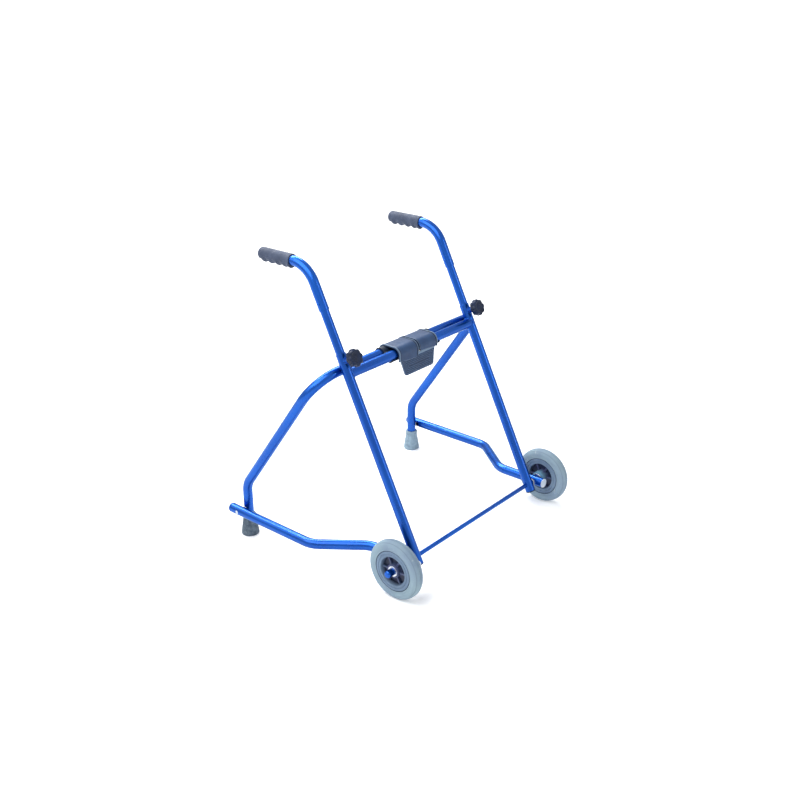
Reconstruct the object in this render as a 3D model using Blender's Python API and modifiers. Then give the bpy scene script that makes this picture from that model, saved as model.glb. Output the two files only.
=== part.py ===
"""Two-wheeled walking frame.

The front frame is two leaning uprights, a cross tube and one axle rod.  The rear frame is
one bent tube with two rubber feet, which folds about the front cross tube in a plastic clip.
Two side rails turn on the axle rod and hook over a peg on each rear leg.

+Z is up, the wheels are at -Y and the handles reach back to +Y, so a person who walks
behind the frame has its right side at -X.  The origin is on the floor, under the middle.
"""
import math

import bmesh
import bpy
from mathutils import Matrix, Vector

# Gaps between pieces
SEAT_GAP = 0.0003
HOLE_GAP = 0.0003

# Tubes
TUBE_RADIUS = 0.0125
TUBE_WALL = 0.0012
STEM_WALL = 0.0015

# Facets: sides of round pieces and the largest turn between two rings of a bend
TUBE_SIDES = 14
RING_SIDES = 12
HOLE_SIDES = 12
TYRE_SIDES = 28
RIM_SIDES = 20
FOOT_SIDES = 20
GRIP_SIDES = 16
BEND_STEP = math.radians(18.0)

# Front frame, with lengths along an upright
LEAN = math.radians(26.4)
UPRIGHT_X = 0.238
UPRIGHT_BELOW_AXLE = 0.019
AXLE_TO_CROSS_TUBE = 0.4624
UPRIGHT_PAST_CROSS_TUBE = 0.0506
UPRIGHT_PLUG_STUB = 0.008
UPRIGHT_PLUG_FLANGE = 0.0025

# Wheels and axle
WHEEL_RADIUS = 0.075
WHEEL_WIDTH = 0.029
TYRE_SHOULDER = 0.012
TYRE_BEAD_INSET = 0.001
TYRE_SEAT_RADIUS = 0.051
RIM_FACE_INSET = 0.0016
RIM_CHAMFER = 0.001
RIM_BORE_RADIUS = 0.037
RIM_BORE_DRAFT = 0.002
HUB_WALL = 0.0085
HUB_OUTER_INSET = 0.003
SLEEVE_WALL = 0.0024
WEB_THICKNESS = 0.006
WEB_DRAFT = 0.001
RIB_COUNT = 6
RIB_THICKNESS = 0.0030
RIB_WIDTH = 0.018
AXLE_RADIUS = 0.0055
AXLE_PAST_WHEEL = 0.017
WHEEL_WASHER_RADIUS = 0.013
WHEEL_WASHER_THICKNESS = 0.002
INNER_WASHER_RADIUS = 0.013
INNER_WASHER_THICKNESS = 0.002
AXLE_CAP_RADIUS = 0.009
AXLE_CAP_END = 0.003

# Side rails, with lengths along Y behind the axle or behind the leg
RAIL_SPACER = 0.005
RAIL_SPACER_RADIUS = 0.010
RAIL_TO_WHEEL = 0.015
RAIL_NOSE = 0.028
RAIL_FRONT_BEND = 0.115
RAIL_REAR_BEND = 0.231
RAIL_PAST_LEG = 0.030
RAIL_BEND_RADIUS = 0.060
RAIL_LEG_GAP = 0.0025
RAIL_HOLE_RADIUS = 0.0045
RAIL_HOLE_PAST_LEG = 0.020
RAIL_HOLE_DROP = 0.0060
NOTCH_CLEARANCE = 0.0006
NOTCH_LEAD_IN = 0.010
PLUG_STUB = 0.012
PLUG_FLANGE = 0.0030
TAIL_DOME = 0.0095
TAIL_STUB = 0.005
DOME_STEPS = 4

# Rear frame
TUBE_GAP = 0.005
LEG_SETBACK = 0.4844
LEG_TOP_X = 0.316
LEG_X = 0.3295
KNEE_HEIGHT = 0.143
CORNER_RADIUS = 0.080
KNEE_RADIUS = 0.060
PEG_RADIUS = 0.004
PEG_COLLAR_RADIUS = 0.0065
PEG_COLLAR = 0.0015
PEG_IN_RAIL = 0.0092

# Rubber feet
FOOT_TO_RAIL = 0.0045
FOOT_SOLE = 0.010
FOOT_BASE_RADIUS = 0.023
FOOT_BASE_CHAMFER = 0.003
FOOT_BASE_BAND = 0.008
FOOT_NECK_RADIUS = 0.0165
FOOT_NECK = 0.010
FOOT_LIP = 0.001

# Handles, with lengths along the stem
HANDLE_PAST_UPRIGHT = 0.107
HANDLE_STRAIGHT = 0.068
HANDLE_BEND_RADIUS = 0.075
STEM_IN_UPRIGHT = 0.113
STEM_IN_HANDLE = 0.036
RIVET_IN_HANDLE = 0.018
RIVET_RADIUS = 0.002
RIVET_HEAD_RADIUS = 0.004
RIVET_HEAD = 0.0016
GRIP_PAST_BEND = 0.002
GRIP_LENGTH = 0.106
GRIP_RADIUS = 0.0155
GRIP_END = 0.0045
GRIP_EDGE = 0.006
GRIP_LIP = 0.0036
GRIP_LIP_LENGTH = 0.006
FINGER_COUNT = 4
FINGER_STEPS = 4
FINGER_HEIGHT = 0.0038
FINGER_HOLLOW = 0.0014

# Clamp knobs
KNOB_BELOW_TOP = 0.019
KNOB_RADIUS = 0.022
KNOB_LOBES = 8
KNOB_LOBE_STEPS = 4
KNOB_LOBE_DEPTH = 0.0022
KNOB_THICKNESS = 0.018
KNOB_EDGE = 0.003
KNOB_HUB_RADIUS = 0.010
KNOB_HUB = 0.005
SCREW_RADIUS = 0.004
SCREW_IN_KNOB = 0.014
BOSS_RADIUS = 0.008
BOSS_LENGTH = 0.0115
KNOB_WASHER_RADIUS = 0.010
KNOB_WASHER = 0.0015

# Clip, with lengths along X from the middle and turns in degrees up from the back
SADDLE_SEAT_FROM = 30
SADDLE_SEAT_TO = -150
SADDLE_WALL = 0.0029
SADDLE_PAST_COVER = 0.018
COVER_HALF_LENGTH = 0.074
COVER_WALL = 0.003
COVER_RIDGE = 0.0012
COVER_BAND_HALF = 0.005
COVER_LIP = 0.004
COVER_REAR_FROM = -15
COVER_RIDGE_TRIM = 4
COVER_SKIRT = 0.014
FLAP_INSET = 0.008
FLAP_FOOT_INSET = 0.019
FLAP_DROP = 0.057
FLAP_LEAN_OUT = 0.005
FLAP_WALL = 0.003
FLAP_SETBACK = 0.002
FLAP_OVERLAP = 0.004
FLAP_RIBS = 6
FLAP_RIB_HEIGHT = 0.0008
CLIP_SCREW_RADIUS = 0.002
CLIP_SCREW_HEAD_RADIUS = 0.004
CLIP_SCREW_HEAD = 0.0022

# Places that follow from the sizes above
TUBE_BORE = TUBE_RADIUS - TUBE_WALL
STEM_RADIUS = TUBE_BORE - SEAT_GAP
TUBE_PITCH = 2 * TUBE_RADIUS + TUBE_GAP
RAIL_TAIL = LEG_SETBACK + RAIL_PAST_LEG
AXLE_Z = WHEEL_RADIUS
AXLE_Y = (WHEEL_RADIUS - RAIL_TAIL - SEAT_GAP - TAIL_DOME) / 2
RAIL_FRONT_X = UPRIGHT_X + 2 * TUBE_RADIUS + RAIL_SPACER
RAIL_REAR_X = LEG_X + 2 * TUBE_RADIUS + RAIL_LEG_GAP
WHEEL_INNER_X = RAIL_FRONT_X + TUBE_RADIUS + RAIL_TO_WHEEL
WHEEL_OUTER_X = WHEEL_INNER_X + WHEEL_WIDTH
HUB_INNER_X = WHEEL_INNER_X - RAIL_TO_WHEEL + INNER_WASHER_THICKNESS + 2 * SEAT_GAP
HUB_OUTER_X = WHEEL_OUTER_X - HUB_OUTER_INSET
HUB_BORE_RADIUS = AXLE_RADIUS + HOLE_GAP + SLEEVE_WALL + SEAT_GAP
AXLE_REACH = WHEEL_OUTER_X + AXLE_PAST_WHEEL
LEG_Y = AXLE_Y + LEG_SETBACK
CROSS_Y = AXLE_Y + AXLE_TO_CROSS_TUBE * math.sin(LEAN)
CROSS_Z = AXLE_Z + AXLE_TO_CROSS_TUBE * math.cos(LEAN)
UPRIGHT_TOP = AXLE_TO_CROSS_TUBE + UPRIGHT_PAST_CROSS_TUBE
KNOB_AT = UPRIGHT_TOP - KNOB_BELOW_TOP
HANDLE_BOTTOM = UPRIGHT_TOP + HANDLE_PAST_UPRIGHT
HANDLE_BEND_REACH = HANDLE_BEND_RADIUS * math.tan((math.pi / 2 - LEAN) / 2)
HANDLE_CORNER = HANDLE_BOTTOM + HANDLE_STRAIGHT + HANDLE_BEND_REACH
GRIP_FROM_CORNER = HANDLE_BEND_REACH + GRIP_PAST_BEND
PEG_REACH = RAIL_LEG_GAP + PEG_IN_RAIL
FOOT_HEIGHT = AXLE_Z - TUBE_RADIUS - FOOT_TO_RAIL
CLIP_BORE = TUBE_RADIUS + SEAT_GAP
SADDLE_OUTER = CLIP_BORE + SADDLE_WALL
COVER_INNER = SADDLE_OUTER + SEAT_GAP
COVER_OUTER = COVER_INNER + COVER_WALL
SIDES = (("right", -1), ("left", 1))
ALONG_X = (0.0, math.radians(90), 0.0)
ALONG_Y = (math.radians(90), 0.0, 0.0)

# Finishes: base colour, roughness and metallic value
FINISHES = {
    "blue_paint": ((0.010, 0.090, 0.650, 1.0), 0.25, 0.0),
    "zinc": ((0.70, 0.72, 0.75, 1.0), 0.30, 1.0),
    "grey_tyre": ((0.34, 0.42, 0.50, 1.0), 0.65, 0.0),
    "grey_rim": ((0.18, 0.23, 0.31, 1.0), 0.50, 0.0),
    "dark_plastic": ((0.045, 0.050, 0.075, 1.0), 0.45, 0.0),
    "slate_plastic": ((0.085, 0.115, 0.190, 1.0), 0.45, 0.0),
    "slate_grip": ((0.100, 0.110, 0.170, 1.0), 0.60, 0.0),
    "grey_rubber": ((0.110, 0.140, 0.180, 1.0), 0.75, 0.0),
    "white_plastic": ((0.80, 0.82, 0.86, 1.0), 0.40, 0.0),
}


def clear_scene():
    """Remove every object that the file opened with."""
    for obj in list(bpy.data.objects):
        bpy.data.objects.remove(obj, do_unlink=True)


def new_collection(name):
    collection = bpy.data.collections.new(name)
    bpy.context.scene.collection.children.link(collection)
    return collection


def make_finishes():
    """One Principled material for each finish."""
    made = {}
    for name, (colour, roughness, metallic) in FINISHES.items():
        material = bpy.data.materials.new(name)
        material.use_nodes = True
        shader = material.node_tree.nodes["Principled BSDF"]
        shader.inputs["Base Color"].default_value = colour
        shader.inputs["Roughness"].default_value = roughness
        shader.inputs["Metallic"].default_value = metallic
        material.diffuse_color = colour
        made[name] = material
    return made


clear_scene()
PARTS = new_collection("two_wheeled_walker")
CUTTERS = new_collection("cutters")
MATERIALS = make_finishes()


def new_empty(name, location, lean=0.0, parent=None):
    """An empty that carries the pieces of one joint or one leaning frame."""
    empty = bpy.data.objects.new(name, None)
    empty.location = location
    empty.rotation_euler.x = -lean
    empty.empty_display_size = 2 * TUBE_RADIUS
    empty.parent = parent
    PARTS.objects.link(empty)
    return empty


AXLE = new_empty("axle_centre", (0.0, AXLE_Y, AXLE_Z))
LEANING = new_empty("leaning_frame", (0.0, AXLE_Y, AXLE_Z), LEAN)
FOLD = new_empty("fold_axis", (0.0, CROSS_Y, CROSS_Z))
LATCH = new_empty("latch_axis", (0.0, TUBE_PITCH, 0.0), parent=FOLD)


def place(obj, finish, parent, location=(0, 0, 0), rotation=(0, 0, 0)):
    """Give a piece its finish, its place and the empty that carries it."""
    obj.data.materials.clear()
    obj.data.materials.append(MATERIALS[finish])
    obj.location = location
    obj.rotation_euler = rotation
    obj.parent = parent
    return obj


def freeze(obj):
    """Turn an object with its modifiers into a plain mesh object of the same name."""
    graph = bpy.context.evaluated_depsgraph_get()
    mesh = bpy.data.meshes.new_from_object(obj.evaluated_get(graph))
    bm = bmesh.new()
    bm.from_mesh(mesh)
    bmesh.ops.remove_doubles(bm, verts=bm.verts, dist=0.000001)
    bm.to_mesh(mesh)
    bm.free()
    mesh.shade_smooth()
    mesh.set_sharp_from_angle(angle=math.radians(35))
    name = obj.name
    bpy.data.objects.remove(obj, do_unlink=True)
    solid = bpy.data.objects.new(name, mesh)
    PARTS.objects.link(solid)
    return solid


def turned(name, profile, sides, ring=False):
    """A profile turned round local Z: (radius, height) points, down the outer side.

    A ring's profile is a closed loop, and any other starts and ends on the axis.
    """
    mesh = bpy.data.meshes.new(name)
    points = [(radius, 0.0, height) for radius, height in profile]
    edges = [(i, i + 1) for i in range(len(points) - 1)]
    if ring:
        edges.append((len(points) - 1, 0))
    mesh.from_pydata(points, edges, [])
    obj = bpy.data.objects.new(name, mesh)
    PARTS.objects.link(obj)
    screw = obj.modifiers.new("turn", "SCREW")
    screw.axis = "Z"
    screw.steps = sides
    screw.render_steps = sides
    screw.use_merge_vertices = True
    screw.merge_threshold = 0.00001
    return freeze(obj)


def washer(name, outer, inner, bottom, top):
    """A flat ring between two heights."""
    profile = [(outer, top), (outer, bottom), (inner, bottom), (inner, top)]
    return turned(name, profile, RING_SIDES, ring=True)


def arc(centre, radius, start, end, steps):
    """Points on a circle, as (radius or x, height) pairs, angles in degrees."""
    turns = [math.radians(start + (end - start) * i / steps) for i in range(steps + 1)]
    return [(centre[0] + radius * math.cos(t), centre[1] + radius * math.sin(t)) for t in turns]


def flats_at(radius, sides):
    """Corner radius of a faceted ring whose flats lie at this radius."""
    return radius / math.cos(math.pi / sides)


def rounded_path(corners, radii):
    """A route through corners, with each inner corner replaced by an arc of its radius."""
    route = [Vector(corners[0])]
    for before, corner, after, radius in zip(corners, corners[1:], corners[2:], radii):
        corner = Vector(corner)
        back = (Vector(before) - corner).normalized()
        on = (Vector(after) - corner).normalized()
        half = back.angle(on) / 2
        centre = corner + (back + on).normalized() * radius / math.sin(half)
        first = corner + back * radius / math.tan(half) - centre
        turn = math.pi - 2 * half
        axis = back.cross(on).normalized()
        steps = max(3, round(turn / BEND_STEP))
        for i in range(steps + 1):
            route.append(centre + Matrix.Rotation(-turn * i / steps, 3, axis) @ first)
    route.append(Vector(corners[-1]))
    return route


def tube(name, route, radius, wall):
    """A hollow tube along a route: an open bevelled curve, thickened inwards."""
    curve = bpy.data.curves.new(name, "CURVE")
    curve.dimensions = "3D"
    curve.bevel_depth = radius
    curve.bevel_resolution = TUBE_SIDES // 2 - 2
    spline = curve.splines.new("POLY")
    spline.points.add(len(route) - 1)
    for point, where in zip(spline.points, route):
        point.co = (*where, 1.0)
    obj = bpy.data.objects.new(name, curve)
    PARTS.objects.link(obj)
    shell = obj.modifiers.new("wall", "SOLIDIFY")
    shell.thickness = wall
    shell.offset = -1.0
    return freeze(obj)


def extruded(name, outline, half_length, holes=(), edge=0.0):
    """A flat outline in local XY, with holes, extruded both ways along local Z."""
    curve = bpy.data.curves.new(name, "CURVE")
    curve.dimensions = "2D"
    curve.fill_mode = "BOTH"
    curve.extrude = half_length - edge
    curve.bevel_depth = edge
    curve.bevel_resolution = 0
    curve.offset = -edge
    for loop in (outline, *holes):
        spline = curve.splines.new("POLY")
        spline.points.add(len(loop) - 1)
        for point, (x, y) in zip(spline.points, loop):
            point.co = (x, y, 0.0, 1.0)
        spline.use_cyclic_u = True
    obj = bpy.data.objects.new(name, curve)
    PARTS.objects.link(obj)
    return freeze(obj)


def as_tool(obj, parent, location=(0, 0, 0), rotation=(0, 0, 0)):
    """Hide a piece that only cuts or joins another."""
    PARTS.objects.unlink(obj)
    CUTTERS.objects.link(obj)
    obj.location = location
    obj.rotation_euler = rotation
    obj.parent = parent
    obj.hide_render = True
    obj.display_type = "WIRE"
    return obj


def round_tool(name, radius, length, parent, location, rotation=(0, 0, 0), sides=HOLE_SIDES):
    half = length / 2
    profile = [(0.0, half), (radius, half), (radius, -half), (0.0, -half)]
    return as_tool(turned(name, profile, sides), parent, location, rotation)


def cope_tool(name, x, height):
    """The space of an upright, for a piece that is welded against its round side."""
    return round_tool(name, TUBE_RADIUS + SEAT_GAP, 6 * TUBE_RADIUS, LEANING, (x, 0.0, height),
                      sides=2 * TUBE_SIDES)


def box_tool(name, low, high, parent):
    """A box between two corners, in its parent's axes."""
    mesh = bpy.data.meshes.new(name)
    size = Vector(high) - Vector(low)
    middle = Matrix.Translation((Vector(high) + Vector(low)) / 2)
    bm = bmesh.new()
    bmesh.ops.create_cube(bm, size=1.0, matrix=middle @ Matrix.Diagonal((*size, 1.0)))
    bm.to_mesh(mesh)
    bm.free()
    obj = bpy.data.objects.new(name, mesh)
    PARTS.objects.link(obj)
    return as_tool(obj, parent)


def boolean(obj, tool, operation="DIFFERENCE"):
    step = obj.modifiers.new(tool.name, "BOOLEAN")
    step.operation = operation
    step.solver = "EXACT"
    step.object = tool


def round_bar(name, radius, bottom, top, sides=HOLE_SIDES):
    """A solid round bar between two heights, with a small chamfer at the top."""
    chamfer = min(radius, top - bottom) * 0.15
    profile = [(0.0, top), (radius - chamfer, top), (radius, top - chamfer), (radius, bottom),
               (0.0, bottom)]
    return turned(name, profile, sides)


def plug_profile(flange, stub, dome=0.0):
    """A tube plug: a domed or flat head over the tube's end and a stub inside it."""
    stub_radius = TUBE_BORE * math.cos(math.pi / TUBE_SIDES) - SEAT_GAP
    face = SEAT_GAP + flange
    if dome:
        turns = [math.pi / 2 * i / DOME_STEPS for i in range(DOME_STEPS + 1)]
        head = [(TUBE_RADIUS * math.sin(t), face + dome * math.cos(t)) for t in turns]
    else:
        head = [(0.0, face), (TUBE_RADIUS - flange / 3, face), (TUBE_RADIUS, face - flange / 3),
                (TUBE_RADIUS, SEAT_GAP)]
    return head + [(stub_radius, SEAT_GAP), (stub_radius, -stub), (0.0, -stub)]


def make_upright(side_name, side):
    """A leaning tube with a hole for the axle rod and one for the clamp screw."""
    x = side * UPRIGHT_X
    route = [Vector((0.0, 0.0, -UPRIGHT_BELOW_AXLE)), Vector((0.0, 0.0, UPRIGHT_TOP))]
    upright = tube("upright_" + side_name, route, TUBE_RADIUS, TUBE_WALL)
    place(upright, "blue_paint", LEANING, (x, 0.0, 0.0))
    boolean(upright, round_tool("axle_hole_" + side_name, AXLE_RADIUS + HOLE_GAP, 3 * TUBE_RADIUS,
                                LEANING, (x, 0.0, 0.0), ALONG_X))
    boolean(upright, round_tool("screw_hole_" + side_name, SCREW_RADIUS + HOLE_GAP, TUBE_RADIUS,
                                LEANING, (x, -TUBE_RADIUS, KNOB_AT), ALONG_Y))


def make_upright_plug(side_name, side):
    """The dark plug that closes the bottom of an upright."""
    plug = turned("upright_plug_" + side_name, plug_profile(UPRIGHT_PLUG_FLANGE, UPRIGHT_PLUG_STUB),
                  TUBE_SIDES)
    place(plug, "dark_plastic", LEANING, (side * UPRIGHT_X, 0.0, -UPRIGHT_BELOW_AXLE),
          (math.pi, 0.0, 0.0))


def make_cross_tube():
    """The front cross tube, coped to the round side of each upright."""
    route = [Vector((-UPRIGHT_X, 0.0, 0.0)), Vector((UPRIGHT_X, 0.0, 0.0))]
    cross = tube("front_cross_tube", route, TUBE_RADIUS, TUBE_WALL)
    place(cross, "blue_paint", LEANING, (0.0, 0.0, AXLE_TO_CROSS_TUBE))
    for side_name, side in SIDES:
        boolean(cross, cope_tool("cope_" + side_name, side * UPRIGHT_X, AXLE_TO_CROSS_TUBE))


def make_clamp(side_name, side):
    """A welded boss, a stud with its washer, and a lobed knob, in front of an upright."""
    x = side * UPRIGHT_X
    boss_end = TUBE_RADIUS + BOSS_LENGTH
    hole = SCREW_RADIUS + HOLE_GAP
    boss = washer("clamp_boss_" + side_name, BOSS_RADIUS, hole, TUBE_RADIUS / 2, boss_end)
    place(boss, "blue_paint", LEANING, (x, 0.0, KNOB_AT), ALONG_Y)
    boolean(boss, cope_tool("boss_cope_" + side_name, x, KNOB_AT))

    pivot = new_empty("knob_axis_" + side_name, (x, 0.0, KNOB_AT), parent=LEANING)
    washer_bottom = boss_end + SEAT_GAP
    washer_top = washer_bottom + KNOB_WASHER
    ring = washer("knob_washer_" + side_name, KNOB_WASHER_RADIUS, hole, washer_bottom, washer_top)
    place(ring, "zinc", pivot, rotation=ALONG_Y)

    hub_bottom = washer_top + SEAT_GAP
    disc_bottom = hub_bottom + KNOB_HUB
    screw_top = disc_bottom + SCREW_IN_KNOB
    screw = round_bar("knob_screw_" + side_name, SCREW_RADIUS, STEM_RADIUS + SEAT_GAP, screw_top)
    place(screw, "zinc", pivot, rotation=ALONG_Y)

    knob = extruded("clamp_knob_" + side_name, knob_outline(), KNOB_THICKNESS / 2, edge=KNOB_EDGE)
    knob.data.transform(Matrix.Translation((0, 0, disc_bottom + KNOB_THICKNESS / 2)))
    place(knob, "dark_plastic", pivot, rotation=ALONG_Y)
    hub = round_bar("knob_hub_" + side_name, KNOB_HUB_RADIUS, hub_bottom, disc_bottom + KNOB_EDGE,
                    RING_SIDES)
    boolean(knob, as_tool(hub, pivot, rotation=ALONG_Y), "UNION")
    bore_bottom = hub_bottom - KNOB_HUB
    bore_top = screw_top + SEAT_GAP
    middle = (bore_bottom + bore_top) / 2
    boolean(knob, round_tool("knob_bore_" + side_name, SCREW_RADIUS + SEAT_GAP,
                             bore_top - bore_bottom, pivot, (0.0, -middle, 0.0), ALONG_Y))


def knob_outline():
    """A circle whose radius swells and sinks once for each lobe."""
    steps = KNOB_LOBE_STEPS * KNOB_LOBES
    outline = []
    for i in range(steps):
        turn = 2 * math.pi * i / steps
        reach = KNOB_RADIUS - KNOB_LOBE_DEPTH * (1 - math.cos(KNOB_LOBES * turn)) / 2
        outline.append((reach * math.cos(turn), reach * math.sin(turn)))
    return outline


def make_axle():
    """The rod from wheel to wheel, through both uprights and both rails."""
    profile = [(0.0, AXLE_REACH), (AXLE_RADIUS, AXLE_REACH), (AXLE_RADIUS, -AXLE_REACH),
               (0.0, -AXLE_REACH)]
    place(turned("axle_rod", profile, RING_SIDES), "blue_paint", AXLE, rotation=ALONG_X)


def make_axle_fittings(side_name, side):
    """Spacer, washers and end cap, in order outwards along the axle rod."""
    out = (0.0, side * math.radians(90), 0.0)
    hole = flats_at(AXLE_RADIUS + HOLE_GAP, RING_SIDES)
    spacer = washer("rail_spacer_" + side_name, RAIL_SPACER_RADIUS, hole,
                    UPRIGHT_X + TUBE_RADIUS + SEAT_GAP, RAIL_FRONT_X - TUBE_RADIUS - SEAT_GAP)
    place(spacer, "zinc", AXLE, rotation=out)
    inner = washer("inner_washer_" + side_name, INNER_WASHER_RADIUS, hole,
                   RAIL_FRONT_X + TUBE_RADIUS + SEAT_GAP, HUB_INNER_X - SEAT_GAP)
    place(inner, "zinc", AXLE, rotation=out)
    washer_bottom = HUB_OUTER_X + SEAT_GAP
    washer_top = washer_bottom + WHEEL_WASHER_THICKNESS
    outer = washer("wheel_washer_" + side_name, WHEEL_WASHER_RADIUS, hole, washer_bottom, washer_top)
    place(outer, "zinc", AXLE, rotation=out)
    bottom = washer_top + SEAT_GAP
    blind = AXLE_REACH + SEAT_GAP
    top = blind + AXLE_CAP_END
    profile = [(0.0, top), (AXLE_CAP_RADIUS * 0.6, top),
               (AXLE_CAP_RADIUS * 0.9, top - AXLE_CAP_END * 0.4),
               (AXLE_CAP_RADIUS, top - AXLE_CAP_END), (AXLE_CAP_RADIUS, bottom), (hole, bottom),
               (hole, blind), (0.0, blind)]
    place(turned("axle_cap_" + side_name, profile, RING_SIDES), "blue_paint", AXLE, rotation=out)


def make_tyre(side_name, rotation):
    """The grey tyre: a ring with rounded shoulders and a nearly flat tread."""
    middle = (WHEEL_INNER_X + WHEEL_OUTER_X) / 2
    half = WHEEL_WIDTH / 2
    seat = flats_at(TYRE_SEAT_RADIUS + SEAT_GAP, TYRE_SIDES)
    shoulder = WHEEL_RADIUS - TYRE_SHOULDER
    tread = arc((shoulder, middle + half - TYRE_SHOULDER), TYRE_SHOULDER, 90, 20, 3)
    tread += [(WHEEL_RADIUS, middle)]
    tread += arc((shoulder, middle - half + TYRE_SHOULDER), TYRE_SHOULDER, -20, -90, 3)
    bead = half - TYRE_BEAD_INSET
    profile = [(seat, middle + bead)] + tread + [(seat, middle - bead)]
    place(turned("tyre_" + side_name, profile, TYRE_SIDES, ring=True), "grey_tyre", AXLE,
          rotation=rotation)


def make_wheel(side_name, side):
    """A grey tyre on a ribbed plastic centre, which turns on a sleeve over the axle rod."""
    out = (0.0, side * math.radians(90), 0.0)
    make_tyre(side_name, out)
    middle = (WHEEL_INNER_X + WHEEL_OUTER_X) / 2
    face = WHEEL_WIDTH / 2 - RIM_FACE_INSET
    web = WEB_THICKNESS / 2
    hub = HUB_BORE_RADIUS + HUB_WALL
    rim_top = [(TYRE_SEAT_RADIUS - RIM_CHAMFER, face), (TYRE_SEAT_RADIUS, face - RIM_CHAMFER)]
    half = [(hub, web + WEB_DRAFT), (RIM_BORE_RADIUS, web), (RIM_BORE_RADIUS + RIM_BORE_DRAFT, face)]
    outer_side = [(r, middle + h) for r, h in half + rim_top]
    inner_side = [(r, middle - h) for r, h in reversed(half + rim_top)]
    profile = [(HUB_BORE_RADIUS, HUB_OUTER_X), (hub, HUB_OUTER_X)] + outer_side
    profile += inner_side + [(hub, HUB_INNER_X), (HUB_BORE_RADIUS, HUB_INNER_X)]
    rim = turned("wheel_rim_" + side_name, profile, RIM_SIDES, ring=True)
    place(rim, "grey_rim", AXLE, rotation=out)
    boolean(rim, make_ribs(side_name, hub, middle, out), "UNION")

    sleeve = washer("wheel_sleeve_" + side_name, HUB_BORE_RADIUS - SEAT_GAP,
                    flats_at(AXLE_RADIUS + HOLE_GAP, RING_SIDES), HUB_INNER_X, HUB_OUTER_X)
    place(sleeve, "dark_plastic", AXLE, rotation=out)


def make_ribs(side_name, hub, middle, rotation):
    """Ribs from the hub to the rim, all in one tool, turned about the axle."""
    inner = (HUB_BORE_RADIUS + hub) / 2
    outer = (RIM_BORE_RADIUS + TYRE_SEAT_RADIUS) / 2
    size = Matrix.Diagonal((outer - inner, RIB_THICKNESS, RIB_WIDTH, 1.0))
    where = Matrix.Translation(((outer + inner) / 2, 0.0, middle))
    bm = bmesh.new()
    for i in range(RIB_COUNT):
        turn = Matrix.Rotation(2 * math.pi * i / RIB_COUNT, 4, "Z")
        bmesh.ops.create_cube(bm, size=1.0, matrix=turn @ where @ size)
    mesh = bpy.data.meshes.new("ribs_" + side_name)
    bm.to_mesh(mesh)
    bm.free()
    obj = bpy.data.objects.new("ribs_" + side_name, mesh)
    PARTS.objects.link(obj)
    return as_tool(obj, AXLE, rotation=rotation)


def make_rail(side_name, side):
    """A level tube from the axle rod back past the rear leg, with a step outwards."""
    front = side * RAIL_FRONT_X
    rear = side * RAIL_REAR_X
    route = rounded_path([(front, -RAIL_NOSE, 0.0), (front, RAIL_FRONT_BEND, 0.0),
                          (rear, RAIL_REAR_BEND, 0.0), (rear, RAIL_TAIL, 0.0)],
                         [RAIL_BEND_RADIUS, RAIL_BEND_RADIUS])
    rail = tube("side_rail_" + side_name, route, TUBE_RADIUS, TUBE_WALL)
    place(rail, "blue_paint", AXLE)
    boolean(rail, round_tool("rail_axle_hole_" + side_name, AXLE_RADIUS + HOLE_GAP,
                             3 * TUBE_RADIUS, AXLE, (front, 0.0, 0.0), ALONG_X))
    boolean(rail, round_tool("rail_tail_hole_" + side_name, RAIL_HOLE_RADIUS, 3 * TUBE_RADIUS, AXLE,
                             (rear, LEG_SETBACK + RAIL_HOLE_PAST_LEG, -RAIL_HOLE_DROP), ALONG_X))
    peg_space = PEG_RADIUS + NOTCH_CLEARANCE
    peg_end = LEG_X + TUBE_RADIUS + PEG_REACH + NOTCH_CLEARANCE
    near, far = sorted((side * (RAIL_REAR_X - 2 * TUBE_RADIUS), side * peg_end))
    boolean(rail, box_tool("peg_notch_" + side_name,
                           (near, LEG_SETBACK - peg_space - NOTCH_LEAD_IN, -2 * TUBE_RADIUS),
                           (far, LEG_SETBACK + peg_space, peg_space), AXLE))

    nose = turned("rail_front_plug_" + side_name, plug_profile(PLUG_FLANGE, PLUG_STUB), TUBE_SIDES)
    place(nose, "white_plastic", AXLE, (front, -RAIL_NOSE, 0.0), ALONG_Y)
    tail = turned("rail_rear_cap_" + side_name, plug_profile(0.0, TAIL_STUB, TAIL_DOME), TUBE_SIDES)
    place(tail, "blue_paint", AXLE, (rear, RAIL_TAIL, 0.0), (-math.radians(90), 0.0, 0.0))


def make_rear_leg_tube():
    """One bent tube: foot, knee, corner, rear cross tube, corner, knee, foot."""
    tip = FOOT_SOLE + SEAT_GAP - CROSS_Z
    knee_z = KNEE_HEIGHT - CROSS_Z
    leg_y = LEG_Y - CROSS_Y
    half = [(LEG_X, leg_y, tip), (LEG_X, leg_y, knee_z), (LEG_TOP_X, TUBE_PITCH, 0.0)]
    mirrored = [(-x, y, z) for x, y, z in reversed(half)]
    radii = [KNEE_RADIUS, CORNER_RADIUS, CORNER_RADIUS, KNEE_RADIUS]
    legs = tube("rear_leg_tube", rounded_path(half + mirrored, radii), TUBE_RADIUS, TUBE_WALL)
    place(legs, "blue_paint", FOLD)


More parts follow.
